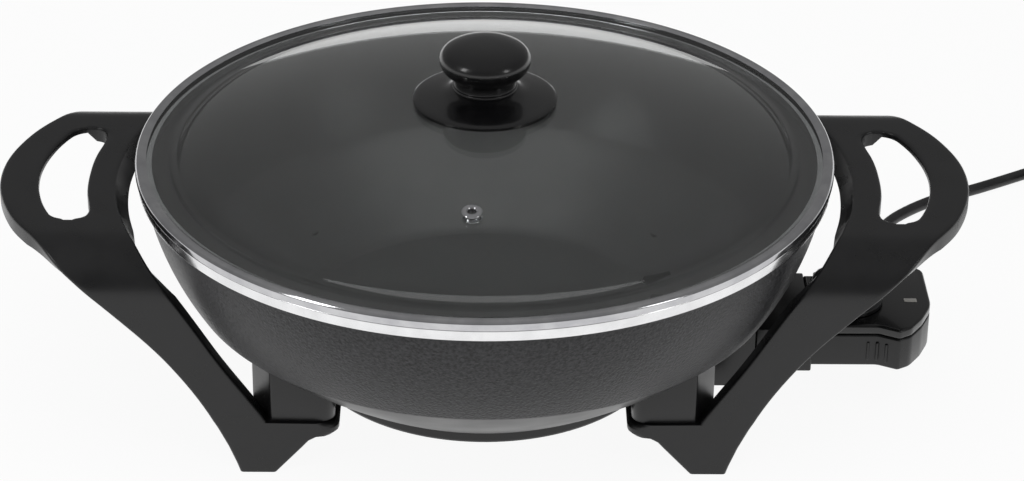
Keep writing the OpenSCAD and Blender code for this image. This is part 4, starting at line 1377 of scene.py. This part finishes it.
@dataclass
class Studio:
    """The camera, the lamps, the floor and the world."""

    focus: tuple = (0.0, 0.0, 0.138)
    distance: float = 1.5
    elevation: float = 27.14
    roll: float = 0.3
    focal_px: float = 2985.0
    image: tuple = (1024, 481)
    axis_px: Point = (484.7, 145.5)
    floor_reach: float = 12.0
    floor_glow: float = 0.93

    def camera(self) -> None:
        """Stands the camera where the photograph was taken from."""
        data = bpy.data.cameras.new("camera")
        data.sensor_width = 36.0
        data.lens = self.focal_px / self.image[0] * data.sensor_width
        data.shift_x = (self.image[0] / 2 - self.axis_px[0]) / self.image[0]
        data.shift_y = -(self.image[1] / 2 - self.axis_px[1]) / self.image[0]
        data.clip_start, data.clip_end = 0.05, 50
        camera = linked("camera", data)
        a = math.radians(self.elevation)
        back = Vector((0, -math.cos(a), math.sin(a)))
        camera.matrix_world = (Matrix.Translation(Vector(self.focus) + back * self.distance)
                               @ (-back).to_track_quat("-Z", "Y").to_matrix().to_4x4()
                               @ Matrix.Rotation(math.radians(self.roll), 4, "Z"))
        bpy.context.scene.camera = camera

    def lamp(self, name: str, at: tuple, size: Point, power: float, mirrored: bool = True) -> None:
        """Hangs one soft box that faces the wok.

        Args:
            name: its name.
            at: where it is, in metres.
            size: its width and height.
            power: its power in watts.
            mirrored: whether glossy surfaces show it.
        """
        data = bpy.data.lights.new(name, "AREA")
        data.shape = "RECTANGLE"
        data.size, data.size_y = size
        data.energy = power
        lamp = linked(name, data)
        lamp.visible_glossy = mirrored
        way = Vector((0.0, 0.0, 0.1)) - Vector(at)
        lamp.matrix_world = Matrix.Translation(at) @ way.to_track_quat("-Z", "Y").to_matrix().to_4x4()

    def backdrop(self) -> None:
        """Lays the pale floor, which looks white to the camera and keeps a soft shadow."""
        material = bpy.data.materials.new("matt_white_floor")
        tree = emptied(material)
        paper = add(tree, "ShaderNodeBsdfDiffuse", {"Color": linear("#f2f2f2")}).outputs[0]
        glow = add(tree, "ShaderNodeEmission", {"Color": (1, 1, 1, 1), "Strength": 1.0}).outputs[0]
        path = add(tree, "ShaderNodeLightPath").outputs
        seen = maths(tree, "MAXIMUM", path["Is Camera Ray"], path["Is Glossy Ray"])
        seen = maths(tree, "MAXIMUM", seen, path["Is Transmission Ray"])
        share = maths(tree, "MULTIPLY", seen, self.floor_glow)
        add(tree, "ShaderNodeOutputMaterial", {"Surface": mixed(tree, share, paper, glow)})
        mesh = bpy.data.meshes.new("floor")
        far = self.floor_reach
        mesh.from_pydata([(-far, -far, 0), (far, -far, 0), (far, far, 0), (-far, far, 0)], [], [(0, 1, 2, 3)])
        mesh.materials.append(material)
        floor = linked("floor", mesh)

    def world(self) -> None:
        """Sets the light of the room, strongest overhead, and a white background for the camera."""
        world = bpy.data.worlds.new("room")
        tree = emptied(world)
        way = add(tree, "ShaderNodeTexCoord").outputs["Generated"]
        height = add(tree, "ShaderNodeSeparateXYZ", {"Vector": way}).outputs["Z"]
        glow = spread(tree, height, (0.35, 1.0), (0.22, 0.3), interpolation_type="SMOOTHSTEP")
        room, white = (add(tree, "ShaderNodeBackground", {"Color": (1, 1, 1, 1), "Strength": level}).outputs[0]
                       for level in (glow, 1.0))
        seen = add(tree, "ShaderNodeLightPath").outputs["Is Camera Ray"]
        add(tree, "ShaderNodeOutputWorld", {"Surface": mixed(tree, seen, room, white)})
        bpy.context.scene.world = world

    def build(self) -> None:
        """Sets up the whole studio."""
        bpy.context.scene.view_settings.view_transform = "Standard"
        self.camera()
        self.backdrop()
        self.world()
        self.lamp("top_box", (0.0, -0.9, 2.4), (3.2, 2.2), 38, mirrored=False)
        self.lamp("front_left_box", (-1.5, -1.0, 1.1), (0.4, 0.7), 5)
        self.lamp("front_right_box", (1.7, -1.2, 0.9), (0.4, 0.7), 3)


# ---------------------------------------------------------------- CAD pieces and assembly


CAD_FINISHES = {
    Finishes.PLATED_STEEL: ("heating_element", "guard_screws", "frame_screws", "knob_screw", "probe_stem",
                            "dial_shaft"),
    Finishes.BLACK_ENAMEL: ("base_cover",),
    Finishes.NICKEL_PLATE: ("terminal_pins", "contact_sleeves", "plug_pins", "plug_earth_clips"),
    Finishes.GLAZED_CERAMIC: ("pin_bushings",),
    Finishes.SILICONE: ("knob_washer",),
    Finishes.CORD_JACKET: ("coil_tie",),
}


def dress_cad() -> None:
    """Gives the CAD nodes that are shown as they are their finishes."""
    for finish, nodes in CAD_FINISHES.items():
        for node in nodes:
            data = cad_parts[node].data
            data.materials.clear()
            data.materials.append(finish.material)


def build_guard() -> None:
    """Makes the moulded guard round the terminals, as short as the photograph shows it."""
    moves_from, shorter = 150 * MM, 23 * MM
    mesh = cad_copy("socket_guard", 0.8)
    for vertex in mesh.vertices:
        if vertex.co.x > moves_from:
            vertex.co.x -= shorter
    mesh.materials.clear()
    place(mesh, "terminal_guard", [Finishes.SATIN_PHENOLIC], "base", "satin_black", "socket_guard")


def main() -> None:
    """Builds the studio, then each sub-assembly."""
    logging.basicConfig(level=logging.INFO, format="%(message)s")
    Studio().build()
    Cord().build()
    bowl = Bowl()
    bowl.build()
    Lid().build()
    HandleLeg().build()
    Blocks().build(bowl)
    build_guard()
    HeatControl().build()
    dress_cad()


if __name__ == "__main__":
    main()
